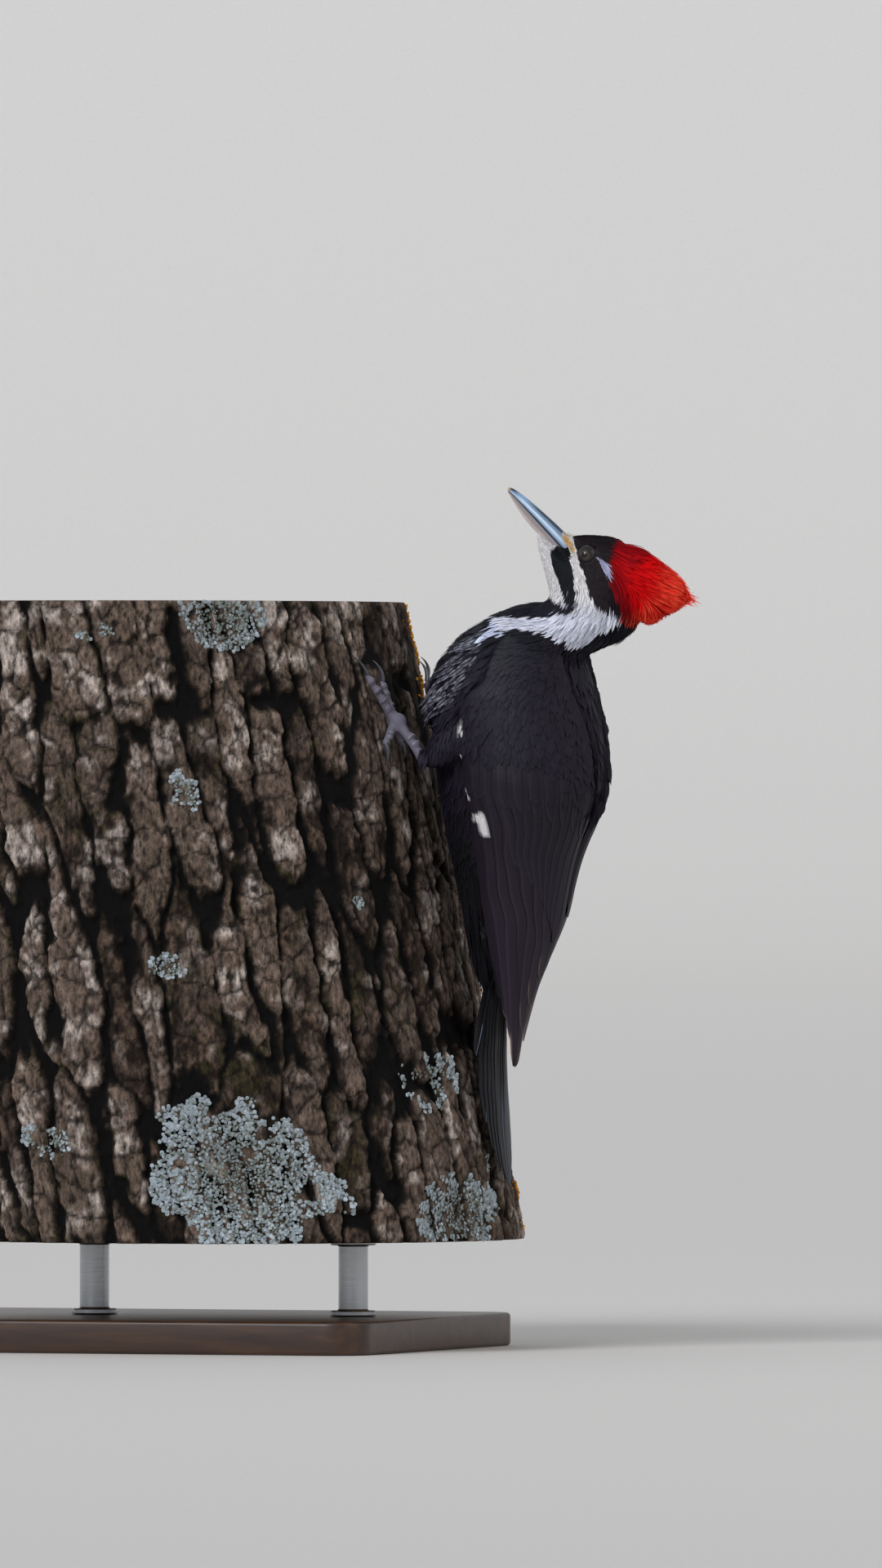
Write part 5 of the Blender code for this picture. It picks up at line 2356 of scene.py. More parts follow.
    def build(self) -> None:
        """Builds both halves."""
        finish = HornFinish("bill_keratin", roughness=0.32, coat=0.3, streak_mm=0.7, contrast=0.08).make()
        for name, upper, tint in (
            ("bill_upper", True, self.upper_colours),
            ("bill_lower", False, self.lower_colours),
        ):
            rings, along, level = self.half(upper)
            mesh = mesh_from(f"{name}_horn", loft(rings), 60.0)
            paint(mesh, tint(along, level, np.concatenate(rings)))
            add_piece(f"{name}_horn", mesh, finish, (name,))


@dataclass
class Eyes:
    """Glossy eyeballs with a bulging cornea, a muted iris and a dark pupil."""

    body: Body
    cornea_rise: float = 0.35 * MM
    cornea_radius: float = 3.4 * MM
    iris_radius: float = 3.1 * MM
    pupil_radius: float = 1.7 * MM
    fit: float = 0.985

    def build(self) -> None:
        """Builds both eyes."""
        material, tree, shader = start_material(
            "wet_eye", Roughness=0.2, IOR=1.38, Coat_Weight=0.6, Coat_Roughness=0.05, Coat_IOR=1.38
        )
        tree.links.new(painted(tree), shader.inputs["Base Color"])
        for name, side in (("eye_left", -1), ("eye_right", 1)):
            centre = self.body.eye + ACROSS * side * self.body.eye_side
            place = Matrix.Translation(centre) @ Matrix.Rotation(math.pi / 2, 4, "X")
            bm = bmesh.new()
            radius = self.body.eye_radius * self.fit
            bmesh.ops.create_uvsphere(bm, u_segments=64, v_segments=48, radius=radius, matrix=place)
            points = coordinates(bm.verts)
            away = points - centre
            flat = np.hypot(away @ self.body.forward, away @ self.body.upward)
            front = away @ ACROSS * side > 0
            rise = self.cornea_rise * ease(self.cornea_radius, 0.0, flat) * front
            for vertex, height in zip(bm.verts, rise):
                vertex.co.y += side * height
            colours = blend(rgb("#4a3b31"), rgb("#231c1a"), ease(1.8 * MM, 3.0 * MM, flat)[:, None])
            colours[(flat > self.iris_radius) | ~front] = linear("#191514")
            colours[(flat < self.pupil_radius) & front] = linear("#040405")
            mesh = mesh_from(f"{name}ball", bm, 80.0)
            paint(mesh, colours)
            add_piece(f"{name}ball", mesh, material, (name,))


class CentreLine:
    """The middle line and radius of a thin limb, read from its solid."""

    def __init__(self, node: str, start: Array, count: int = 24) -> None:
        """Reads the solid's rings.

        Args:
            node: The solid.
            start: A place beyond the limb's root.
            count: How many even points to give.
        """
        points = np.array([vertex.co for vertex in solid(node).vertices])
        middle = points.mean(axis=0)
        axis = np.linalg.svd(points - middle)[2][0]
        axis = axis * np.sign((middle - start) @ axis)
        run = (points - middle) @ axis
        order = np.argsort(run)
        groups = np.array_split(order, max(len(points) // 8, 3))
        centres = np.array([points[group].mean(axis=0) for group in groups])
        gaps = [np.linalg.norm(points[group] - centre, axis=1) for group, centre in zip(groups, centres)]
        radii = np.array([gap.mean() for gap in gaps])
        runs = (centres - middle) @ axis
        even = np.linspace(run.min(), run.max(), count)
        curve = [np.polyval(np.polyfit(runs, centres[:, k], 2), even) for k in range(3)]
        self.points = np.stack(curve, axis=1)
        self.radii = np.interp(even, runs, radii)
        self.length = run.max() - run.min()


@dataclass
class Feet:
    """Scales over the tarsi and toes, and hooked claws."""

    body: Body
    scale_length: float = 1.7 * MM
    scale_rise: float = 0.22 * MM
    scale_thickness: float = 0.25 * MM
    half_turn: float = math.radians(88)
    claw_rings: int = 20
    claw_segments: int = 14

    def log_side(self, point: Array) -> Array:
        """The level direction from the log towards a place beside it.

        Args:
            point: The place.

        Returns:
            The direction.
        """
        middle = box_centre("perch_log")
        axis = middle[0] + (middle[2] - point[2]) * math.tan(LOG_LEAN)
        return unit(point - (axis, 0.0, point[2]))

    def build(self) -> None:
        """Builds the scales and claws of both feet."""
        horn = HornFinish("foot_scales", roughness=0.45, coat=0.1, streak_mm=0.4).make()
        claw_horn = HornFinish("claw_keratin", roughness=0.25, coat=0.4, streak_mm=0.6, contrast=0.2).make()
        for side in ("left", "right"):
            foot = box_centre(f"foot_{side}")
            heel = box_centre(f"thigh_{side}")
            lines = [CentreLine(f"tarsus_{side}", heel)]
            lines += [CentreLine(f"toe_{side}_{number}", foot) for number in (1, 2, 3, 4)]
            self.scales(f"foot_scales_{side}", lines, horn)
            for number in (1, 2, 3, 4):
                self.claw(f"{side}_{number}", claw_horn)

    def scales(self, name: str, lines: list, finish: Material) -> None:
        """Lays overlapping plates along the outer side of each line.

        Args:
            name: The piece's name.
            lines: The middle lines of the tarsus and the toes.
            finish: The material.
        """
        draw = np.random.default_rng(31)
        model, faces = plate_model(10, 3)
        around, along, layer = model.T
        every = []
        colours = []
        for line in lines:
            count = int(line.length / (self.scale_length * 0.82))
            for index in range(count):
                share = (index + 0.3 + along * 1.15) / count
                place = np.clip(share, 0, 1) * (len(line.points) - 1)
                low = np.minimum(place.astype(int), len(line.points) - 2)
                middle = blend(line.points[low], line.points[low + 1], (place - low)[:, None])
                radius = np.interp(place, np.arange(len(line.radii)), line.radii)
                ahead = unit(line.points[low + 1] - line.points[low])
                outward = self.log_side(middle.mean(axis=0))
                outward = unit(outward - ahead * dot(ahead, outward)[:, None])
                across = np.cross(ahead, outward)
                angle = around * self.half_turn
                rise = self.scale_rise * (0.35 + along) * np.cos(angle * 0.5)
                lift = radius + rise + layer * self.scale_thickness
                bow = ahead * (np.cos(angle) * 0.22 * self.scale_length)[:, None]
                ray = outward * np.cos(angle)[:, None] + across * np.sin(angle)[:, None]
                every.append(middle + bow + ray * lift[:, None])
                tone = Tone.FOOT.rgb * draw.uniform(0.8, 1.2)
                colours.append(tone * (0.65 + 0.5 * along)[:, None])
        mesh = joined_mesh(name, np.array(every), faces, np.array(colours))
        add_piece(name, mesh, finish)

    def claw(self, name: str, finish: Material) -> None:
        """One hooked claw: deeper than wide, grooved beneath, tapering to a point.

        Args:
            name: The foot's side and the toe's number.
            finish: The material.
        """
        toe = box_centre(f"toe_{name}")
        line = CentreLine(f"claw_{name}", toe, self.claw_rings)
        rings = []
        shares = []
        base = line.radii[:4].max() * 1.05
        for step in range(self.claw_rings):
            share = step / (self.claw_rings - 1)
            ahead = unit(line.points[min(step + 1, self.claw_rings - 1)] - line.points[max(step - 1, 0)])
            outward = self.log_side(line.points[step])
            outward = unit(outward - ahead * (ahead @ outward))
            across = np.cross(ahead, outward)
            size = base * (1 - share**1.6 * 0.88)
            angle = np.linspace(0, 2 * math.pi, self.claw_segments, endpoint=False)
            high = np.cos(angle) * size * 1.12
            wide = np.sin(angle) * size * (0.72 + 0.12 * np.cos(angle))
            rings.append(line.points[step] + outward * high[:, None] + across * wide[:, None])
            shares.append(np.full(self.claw_segments, share))
        mesh = mesh_from(f"claw_horn_{name}", loft(rings), 70.0)
        paint(mesh, blend(rgb("#4b4a50"), rgb("#17171b"), np.concatenate(shares)[:, None]))
        add_piece(f"claw_horn_{name}", mesh, finish, (f"claw_{name}",))


# ---------------------------------------------------------------- perch


@dataclass
class Log:
    """The leaning cut log: deep ridged bark round a core of wood."""

    lean: float = LOG_LEAN
    bark_depth: float = 9.0 * MM
    step: float = 1.25 * MM
    sectors: int = 3
    back_inset: float = 1.5 * MM
    foot_side: float = 40.0 * MM
    foot_rise: float = 5.0 * MM
    calm_side: tuple[float, float] = (34.0 * MM, 24.0 * MM)
    calm_rise: tuple[float, float] = (46.0 * MM, 34.0 * MM)
    ridge_cells: int = 48
    ridge_height: float = 96.0 * MM
    plate_height: float = 17.0 * MM
    plate: str = "#66574d"
    plate_light: str = "#aa9e95"
    ground: str = "#281e18"
    crumb_light: str = "#5c4b3f"
    # Near black in cracks and hollows: painted shade.
    dark: str = "#0f0a07"
    # Near black deep in the gorges between the ridges: painted shade.
    shaded_gorge: str = "#060403"
    moss: str = "#322f17"

    def __post_init__(self) -> None:
        """Reads the log's size from its solid."""
        low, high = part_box("perch_log")
        self.bottom = low.z
        self.top = high.z
        self.radius = (high.y - low.y) / 2
        points = np.array([vertex.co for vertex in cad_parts["perch_log"].data.vertices])
        lower = points[points[:, 2] < (self.bottom + self.top) / 2]
        self.radius = max(self.radius, lower[:, 1].max())
        self.middle = np.array((lower[:, 0].min() + lower[:, 0].max(), 0)) / 2
        self.grain = Grain(41)

    def axis(self, height: Array) -> Array:
        """The x of the log's axis at a height."""
        return self.middle[0] - (height - self.bottom) * math.tan(self.lean)

    def place(self, angle: Array, height: Array, depth: Array) -> Array:
        """A place at an angle round the log, a height, and a depth under the outer bark.

        Args:
            angle: Angles from the bird's side.
            height: Heights above the floor.
            depth: Depths under the outer bark.

        Returns:
            The places.
        """
        radius = self.radius - depth
        x = self.axis(height) + radius * np.cos(angle) / math.cos(self.lean)
        return np.stack((x, radius * np.sin(angle), height), axis=-1)

    def cracks(self, angle: Array, height: Array, cells: int, tall: float, seed: int) -> tuple[Array, Array]:
        """Distances inside a pattern of tall cells that closes round the log.

        Args:
            angle: Angles round the log.
            height: Heights.
            cells: How many cells go round.
            tall: How tall a cell is.
            seed: Which pattern.

        Returns:
            The distance to the nearest crack as a share of a cell, and a random value for each cell.
        """
        draw = np.random.default_rng(seed)
        rows = int((self.top - self.bottom) / tall) + 6
        jitter = draw.uniform(0.08, 0.92, (rows, cells, 2))
        value = draw.uniform(0, 1, (rows, cells))
        u = angle / (2 * math.pi) * cells
        v = (height - self.bottom) / tall + 2
        column = np.floor(u).astype(int)
        row = np.floor(v).astype(int)
        nearest = np.full(len(angle), 9.0)
        second = np.full(len(angle), 9.0)
        chosen = np.zeros(len(angle))
        for dr in (-1, 0, 1):
            for dc in (-2, -1, 0, 1, 2):
                r = np.clip(row + dr, 0, rows - 1)
                c = (column + dc) % cells
                shift = 0.5 * (r % 2)
                gap = np.hypot(column + dc + jitter[r, c, 0] + shift - u, r + jitter[r, c, 1] - v)
                closer = gap < nearest
                second = np.where(closer, nearest, np.minimum(second, gap))
                chosen = np.where(closer, value[r, c], chosen)
                nearest = np.where(closer, gap, nearest)
        return second - nearest, chosen

    def quiet(self, angle: Array, height: Array) -> Array:
        """1 under the toes, where the bark must reach its full height, else 0.

        Args:
            angle: Angles from the bird's side.
            height: Heights above the floor.

        Returns:
            A share for each place.
        """
        side = np.abs(np.abs(self.radius * np.sin(angle)) - self.foot_side)
        rise = np.abs(height - box_centre("foot_left")[2] - self.foot_rise)
        return ease(*self.calm_side, side) * ease(*self.calm_rise, rise) * (np.cos(angle) > 0)

    def bark(self, angle: Array, height: Array) -> tuple[Array, Array]:
        """How deep the bark's surface lies and its colour, with painted light and shade that follow the
        relief: darker in gorges, cracks and hollows, paler on raised lumps.

        Args:
            angle: Angles round the log.
            height: Heights.

        Returns:
            Depths in metres, and linear colours.
        """
        flat = self.place(angle, height, np.zeros(len(angle)))
        sway = self.grain.layered(flat * (1, 1, 0.35), 22 * MM, 3) * 0.055
        sway = sway + self.grain.layered(flat * (1, 1, 0.8), 7 * MM, 2) * 0.014
        bend = self.grain.layered(flat + 3, 34 * MM, 3) * 22 * MM
        turn = angle + sway
        ridge, tone = self.cracks(turn, height + bend, self.ridge_cells, self.ridge_height, 42)
        plate, shade = self.cracks(turn, height + bend * 0.5, self.ridge_cells * 2, self.plate_height, 43)
        rag = self.grain.layered(flat * (1, 1, 0.6), 9 * MM, 4)
        lump = self.grain.layered(flat * (1, 1, 0.6) + 1, 4.2 * MM, 3)
        crumb = self.grain.layered(flat * (1, 1, 0.8) + 2, 2.6 * MM, 2)
        open_ness = self.grain.layered(flat * (1, 1, 0.6) + 4, 60 * MM, 2)
        edge = ridge + 0.26 * rag + 0.08 * lump - 0.10 * open_ness
        top = ease(0.15, 0.25, edge) * ease(0.05, 0.40, tone + 0.5 * rag)
        shaded_gorge = 1 - ease(0.0, 0.22, edge)
        crack = (1 - ease(0.02, 0.16, plate + 0.06 * lump)) * (1 - shaded_gorge)
        depth = 0.2 * MM + 1.5 * MM * (1 - top) + 5.2 * MM * shaded_gorge * (0.75 + 0.25 * rag)
        depth += 0.8 * MM * crack + 0.9 * MM * (1 - shade)
        depth -= 0.55 * MM * lump + 0.45 * MM * crumb + 0.4 * MM * rag
        calm = self.quiet(angle, height)
        depth = np.clip(depth, -0.8 * MM, self.bark_depth - 0.6 * MM)
        depth = blend(depth, np.clip(depth * 0.35, 0.1 * MM, 1.2 * MM), calm)
        moss = self.grain.layered(flat + 5, 50 * MM, 2) + 0.8 * self.grain.at(flat + 6, 5 * MM)
        patchy = self.grain.layered(flat + 8, 13 * MM, 4)
        paler = ease(0.05, 0.6, patchy + 0.5 * shade - 0.25 + 0.3 * crumb)
        # The colour follows the relief: paler on raised lumps and crumbs, darker in hollows, cracks and
        # gorges, as painted light and shade.
        colour = np.tile(linear(self.ground), (len(angle), 1))
        for code, share in (
            (self.crumb_light, ease(0.0, 0.55, lump + 0.4 * crumb)),
            (self.moss, ease(0.15, 0.70, moss) * 0.75),
            (self.plate, top * (0.75 + 0.5 * patchy)),
            (self.plate_light, top * paler * 0.8),
            (self.ground, top * ease(0.15, 0.6, -lump - 0.3 * crumb) * 0.8),
            (self.dark, ease(0.20, 0.65, -lump - 0.4 * rag) * 0.8),
            (self.dark, crack * 0.8),
            (self.shaded_gorge, ease(0.02, 0.50, shaded_gorge + 0.15 * lump)),
        ):
            colour = blend(colour, rgb(code), np.clip(share, 0, 1)[:, None])
        colour *= (0.75 + 0.4 * tone)[:, None] * (1 + 0.25 * crumb)[:, None]
        return depth, np.clip(colour, 0, 1)

    def build(self) -> None:
        """Builds the bark in sectors, and the core."""
        finish = self.bark_finish()
        for sector in range(self.sectors):
            self.sector(sector, finish)
        self.core()

    def bark_finish(self) -> Material:
        """Rough dry bark, with crumbs and vertical fibres about a millimetre wide.

        Returns:
            The material.
        """
        material, tree, shader = start_material("oak_bark", Roughness=0.92, IOR=1.45, Specular_IOR_Level=0.25)
        fibre = noise(tree, object_place(tree), 480.0, (1.0, 1.0, 0.5), Detail=6.0, Roughness=0.7)
        vary_paint(tree, shader, fibre, (0.32, 0.68, 0.15, 2.1))
        relief(tree, shader, fibre, 1.0, 0.9 * MM)
        return material

    def sector(self, index: int, finish: Material) -> None:
        """One closed part of the bark: a grid wrapped round the log, with a plain back.

        Args:
            index: The part's number.
            finish: The material.
        """
        first = 2 * math.pi * index / self.sectors
        last = 2 * math.pi * (index + 1) / self.sectors
        columns = int((last - first) * self.radius / self.step)
        rows = int((self.top - self.bottom) / self.step)
        bm = bmesh.new()
        bmesh.ops.create_grid(bm, x_segments=columns, y_segments=rows, size=1.0)
        flat = coordinates(bm.verts)
        angle = first + (last - first) * (flat[:, 0] + 1) / 2
        height = self.bottom + (self.top - self.bottom) * (flat[:, 1] + 1) / 2
        depth, colours = self.bark(angle, height)
        end = np.minimum(height - self.bottom, self.top - height)
        depth = depth + 1.2 * MM * ease(2.5 * MM, 0.0, end)
        points = self.place(angle, height, depth)
        for vertex, point in zip(bm.verts, points):
            vertex.co = point
        rim = [edge for edge in bm.edges if edge.is_boundary]
        made = bmesh.ops.extrude_edge_only(bm, edges=rim)["geom"]
        inner = [item for item in made if isinstance(item, bmesh.types.BMVert)]
        for vertex in inner:
            turn = math.atan2(vertex.co.y, vertex.co.x - self.axis(vertex.co.z))
            level = min(max(vertex.co.z, self.bottom + self.back_inset), self.top - self.back_inset)
            vertex.co = self.place(np.array(turn), np.array(level), np.array(self.bark_depth + 4 * MM))
        rim = [edge for edge in bm.edges if edge.is_boundary]
        bmesh.ops.contextual_create(bm, geom=rim)
        spare = len(bm.verts) - len(flat)
        mesh = mesh_from(f"bark_{index + 1}", bm, 180.0)
        paint(mesh, np.concatenate((colours, np.tile(linear("#3a2c22"), (spare, 1)))))
        add_piece(f"bark_{index + 1}", mesh, finish, ("perch_log",) if index == 0 else ())

    def core(self) -> None:
        """The wood inside the bark, with growth rings on its sawn ends."""
        rings = []
        count = 160
        angle = np.linspace(0, 2 * math.pi, count, endpoint=False)
        depth = self.bark_depth + 0.5 * MM
        for level, inset in (
            (self.bottom + 0.3 * MM, 1.0 * MM),
            (self.bottom + 1.3 * MM, 0.0),
            (self.top - 1.3 * MM, 0.0),
            (self.top - 0.3 * MM, 1.0 * MM),
        ):
            rings.append(self.place(angle, np.full(count, level), np.full(count, depth + inset)))
        mesh = mesh_from("log_core", loft(rings), 40.0)
        points = coordinates(mesh.vertices)
        centre = self.axis(points[:, 2])
        flat = np.stack(((points[:, 0] - centre) * math.cos(self.lean), points[:, 1]), axis=1)
        map_points(mesh, "Rings", flat / MM / 100)
        material, tree, shader = start_material("sawn_wood", Roughness=0.7, IOR=1.5)
        place = map_place(tree, "Rings")
        sway = noise(tree, place, 3.0, Detail=3.0)
        reach = add_node(tree, "VectorMath", links={0: place}, operation="LENGTH").outputs["Value"]
        wobble = add_node(tree, "Math", {1: 0.12}, {0: sway, 2: reach}, operation="MULTIPLY_ADD")
        years = add_node(tree, "Math", {1: 40.0}, {0: wobble.outputs["Value"]}, operation="MULTIPLY")
        year = add_node(tree, "Math", links={0: years.outputs["Value"]}, operation="FRACT").outputs["Value"]
        ramp(tree, shader, year, ((0.0, "#b08a5c"), (0.7, "#a07a4e"), (0.93, "#6f4d2e"), (1.0, "#8f6a42")))
        add_piece("log_core", mesh, material)


@dataclass(frozen=True)
class Patch:
    """A patch of lichen: its angle round the log in degrees, its height, and its half sizes in mm."""

    angle: float
    height: float
    half_width: float
    half_height: float
    fill: float = 0.75


@dataclass
class Lichens:
    """Grey-green leafy lichen in rosettes, and orange flakes along the log's edge beside the bird: orange
    lichen, and painted sunlight on that rim.
    """

    log: Log
    flake: float = 2.5 * MM
    flakes_per_square_mm: float = 1.15
    pale: str = "#adb8bf"
    old: str = "#737a70"
    orange: str = "#e08a12"
    yellow: str = "#f0b638"
    # The orange flakes' angle round the log and their spread in degrees, and their stretches: low, high,
    # flakes; lichen, and painted sunlight on the rim beside the bird.
    sunlit_rim_crust_angle: tuple[float, float] = (18.5, 2.6)
    sunlit_rim_crust: tuple[tuple[int, int, int], ...] = ((350, 404, 1500), (61, 92, 1500), (100, 340, 250))
    patches: tuple[Patch, ...] = (
        Patch(-47, 395, 34, 28),
        Patch(-64, 97, 57, 49, 0.85),
        Patch(-16, 75, 40, 28),
        Patch(-19, 150, 27, 18, 0.55),
        Patch(-61, 303, 9, 14, 0.8),
        Patch(-70, 208, 12, 8, 0.7),
        Patch(-101, 115, 20, 12, 0.6),
        Patch(-28, 247, 6, 9, 0.6),
        Patch(-70, 388, 16, 9, 0.4),
        Patch(-3, 102, 6, 9, 0.5),
        Patch(150, 290, 36, 30),
        Patch(95, 140, 30, 34),
        Patch(60, 330, 18, 22, 0.6),
        Patch(-150, 210, 34, 26),
        Patch(-130, 350, 14, 18, 0.6),
        Patch(185, 110, 24, 22, 0.6),
    )

    def flake_model(self) -> tuple[Array, Array]:
        """A closed lobed flake, one unit across, as across, along and up.

        Returns:
            The flake's points and its triangles.
        """
        bm = bmesh.new()
        bmesh.ops.create_cone(bm, cap_ends=True, segments=6, radius1=0.5, radius2=0.40, depth=0.12)
        for vertex in bm.verts:
            lobe = 1 + 0.25 * math.cos(3 * math.atan2(vertex.co.y, vertex.co.x))
            vertex.co.x *= lobe
            vertex.co.y = vertex.co.y * lobe + 0.3
        return arrays_of(bm)

    def scatter(self, draw: np.random.Generator) -> tuple[Array, Array, Array, Array]:
        """Angles, heights, turns outward and sizes of every flake.

        Args:
            draw: The source of random numbers.

        Returns:
            The angles, heights, turns and sizes.
        """
        rows = []
        for patch in self.patches:
            area = math.pi * patch.half_width * patch.half_height
            tries = int(area * self.flakes_per_square_mm)
            reach = np.sqrt(draw.uniform(0, 1.7, tries))
            turn = draw.uniform(0, 2 * math.pi, tries)
            across = reach * np.cos(turn) * patch.half_width
            up = reach * np.sin(turn) * patch.half_height
            angle = math.radians(patch.angle) + across * MM / self.log.radius
            height = patch.height * MM + up * MM
            flat = self.log.place(angle, height, np.zeros(tries))
            ragged = self.log.grain.layered(flat + 9, 22 * MM, 4)
            holes = self.log.grain.layered(flat + 11, 7 * MM, 2)
            keep = (reach < 0.82 + 0.65 * ragged) & (holes > 0.55 - 1.3 * patch.fill + 0.3 * reach)
            keep &= (height > self.log.bottom + 1 * MM) & (height < self.log.top - 1 * MM)
            size = (0.55 + 0.45 * reach) * draw.uniform(0.6, 1.2, tries)
            rows.append(np.stack((angle, height, turn, size), axis=1)[keep])
        return tuple(np.concatenate(rows).T)

    def build(self) -> None:
        """Builds the leafy lichen and the orange flakes: lichen, and painted sunlight on the log's rim."""
        draw = np.random.default_rng(51)
        angle, height, turn, size = self.scatter(draw)
        turn = turn + draw.normal(0, 0.5, len(turn))
        tilt = draw.uniform(0.05, 0.60, len(turn))
        mix = np.clip(ease(1.0, 0.55, size)[:, None] * 0.8 + draw.uniform(-0.3, 0.4, (len(turn), 1)), 0, 1)
        tones = blend(rgb(self.pale), rgb(self.old), mix) * draw.uniform(0.7, 1.15, (len(turn), 1))
        self.add("leafy_lichen", angle, height, turn, tilt, size * self.flake, tones, 0.35 * MM)
        # Orange flakes along the rim beside the bird: orange lichen, and painted sunlight on that edge.
        rows = []
        for low, high, tries in self.sunlit_rim_crust:
            turns = draw.normal(*np.radians(self.sunlit_rim_crust_angle), tries)
            heights = draw.uniform(low * MM, high * MM, tries)
            flat = self.log.place(turns, heights, np.zeros(tries))
            keep = self.log.grain.layered(flat + 2, 10 * MM, 2) > 0.0
            rows.append(np.stack((turns, heights), axis=1)[keep])
        angle, height = np.concatenate(rows).T
        turn = draw.uniform(0, 2 * math.pi, len(angle))
        tilt = draw.uniform(0.2, 1.3, len(angle))
        tones = blend(rgb(self.orange), rgb(self.yellow), draw.uniform(0, 1, (len(turn), 1)))
        sizes = draw.uniform(0.9, 2.0, len(turn)) * MM
        self.add("orange_lichen_sunlit_rim", angle, height, turn, tilt, sizes, tones, 0.2 * MM)

    def add(
        self, name: str, angle: Array, height: Array, turn: Array, tilt: Array,
        size: Array, tones: Array, lift: float,
    ) -> None:
        """Joins flakes into one piece that lies on the bark.

        Args:
            name: The piece's name.
            angle: The angle of each round the log.
            height: The height of each.
            turn: Which way each points, in the bark's plane.
            tilt: How much each stands up.
            size: The width of each.
            tones: The colour of each.
            lift: How far each stands over the bark.
        """
        model, faces = self.flake_model()
        depth, _ = self.log.bark(angle, height)
        depth = np.minimum(depth, 3.5 * MM)
        root = self.log.place(angle, height, depth - lift)
        out = unit(np.stack((np.cos(angle), np.sin(angle), np.zeros(len(angle))), axis=1))
        level = np.stack((-np.sin(angle), np.cos(angle), np.zeros(len(angle))), axis=1)
        up = np.tile((0.0, 0.0, 1.0), (len(angle), 1))
        along = level * np.cos(turn)[:, None] + up * np.sin(turn)[:, None]
        side = -level * np.sin(turn)[:, None] + up * np.cos(turn)[:, None]
        forward = along * np.cos(tilt)[:, None] + out * np.sin(tilt)[:, None]
        above = out * np.cos(tilt)[:, None] - along * np.sin(tilt)[:, None]
        local = model[None] * size[:, None, None]
        points = root[:, None] + side[:, None] * local[..., :1] + forward[:, None] * local[..., 1:2]
        points = points + above[:, None] * local[..., 2:]
        rim = np.linalg.norm(model[:, :2] - (0, 0.3), axis=1) / 0.6
        colours = tones[:, None] * (0.7 + 0.45 * rim)[None, :, None]
        material, tree, shader = start_material(name, Roughness=0.9, IOR=1.45, Specular_IOR_Level=0.2)
        tree.links.new(painted(tree), shader.inputs["Base Color"])
        parts = math.ceil(len(points) * len(faces) / MOST_TRIANGLES)
        for part, chosen in enumerate(np.array_split(np.arange(len(points)), parts)):
            mesh = joined_mesh(name, points[chosen], faces, np.clip(colours[chosen], 0, 1), 40.0)
            add_piece(f"{name}_{part + 1}", mesh, material)


@dataclass
class Stand:
    """A flat wooden base and two steel rods with collars."""

    corner: float = 22.0 * MM
    edge: float = 2.0 * MM
    collar_radius: float = 12.5 * MM
    collar_height: float = 3.0 * MM
    collar_cut: float = 0.6 * MM
    fillet: float = 0.8 * MM

    def build(self) -> None:
        """Builds the base, the rods and the collars."""
        self.base()
        steel = self.steel()
        for name in ("stand_rod_near_bird", "stand_rod_far_from_bird"):
            self.rod(name, steel)

    def wood(self) -> Material:
        """Dark oiled walnut: satin, with long fine grain along the base.

        Returns:
            The material.
        """
        material, tree, shader = start_material(
            "oiled_walnut", Roughness=0.42, IOR=1.5, Coat_Weight=0.2, Coat_Roughness=0.25
        )
        grain = noise(
            tree, object_place(tree), 14.0, (1.0, 9.0, 9.0), Detail=6.0, Roughness=0.6, Distortion=0.6
        )
        ramp(tree, shader, grain, ((0.25, "#20130c"), (0.5, "#3a2416"), (0.75, "#52351f")))
        relief(tree, shader, grain, 0.1, 0.1 * MM)
        return material

    def steel(self) -> Material:
        """Turned stainless steel: bright, with faint lathe lines.

        Returns:
            The material.
        """
        material, tree, shader = start_material("stainless_steel", Metallic=1.0, Base_Color=linear("#b9bbbd"))
        lines = noise(tree, object_place(tree), 2500.0, (0.02, 0.02, 1.0), Detail=2.0)
        rough = add_node(tree, "MapRange", {"To Min": 0.22, "To Max": 0.38}, {"Value": lines})
        tree.links.new(rough.outputs["Result"], shader.inputs["Roughness"])
        return material

    def base(self) -> None:
        """The base, with rounded corners and a small bevel."""
        low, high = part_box("stand_base")
        place = Matrix.Translation((low + high) / 2) @ Matrix.Diagonal((*(high - low), 1.0))
        bevel = {"profile": 0.5, "affect": "EDGES", "material": -1}
        bm = bmesh.new()
        bmesh.ops.create_cube(bm, size=1.0, matrix=place)
        upright = [edge for edge in bm.edges if abs(edge.verts[0].co.z - edge.verts[1].co.z) > self.edge]
        bmesh.ops.bevel(bm, geom=upright, offset=self.corner, segments=12, **bevel)
        rims = [edge for edge in bm.edges if abs(edge.verts[0].co.z - edge.verts[1].co.z) < 1e-6]
        bmesh.ops.bevel(bm, geom=rims, offset=self.edge, segments=4, **bevel)
        mesh = mesh_from("base_wood", bm, 30.0)
        add_piece("base_wood", mesh, self.wood(), ("stand_base",))

    def rod(self, name: str, steel: Material) -> None:
        """One rod, spun from its outline, with a bevelled collar at each end.

        Args:
            name: The rod's node.
            steel: The material.
        """
        low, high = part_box(name)
        centre = (low + high) / 2
        radius = (high.x - low.x) / 2
        wide = self.collar_radius
        tall = self.collar_height
        cut = self.collar_cut
        fillet = self.fillet
        collar = [
            (0.0, 0.0), (wide - cut, 0.0), (wide, cut), (wide, tall - cut), (wide - cut, tall),
            (radius + fillet, tall), (radius, tall + fillet),
        ]
        profile = [(reach, low.z + rise) for reach, rise in collar]
        profile += [(reach, high.z - rise) for reach, rise in reversed(collar)]
        bm = bmesh.new()
        verts = [bm.verts.new((centre.x + reach, centre.y, z)) for reach, z in profile]
        edges = [bm.edges.new(pair) for pair in zip(verts, verts[1:])]
        bmesh.ops.spin(
            bm, geom=verts + edges, cent=(centre.x, centre.y, 0), axis=(0, 0, 1), angle=2 * math.pi,
            steps=56, use_merge=True,
        )
        bmesh.ops.remove_doubles(bm, verts=bm.verts, dist=1e-6)
        add_piece(f"{name}_steel", mesh_from(f"{name}_steel", bm, 30.0), steel, (name,))


# ---------------------------------------------------------------- studio


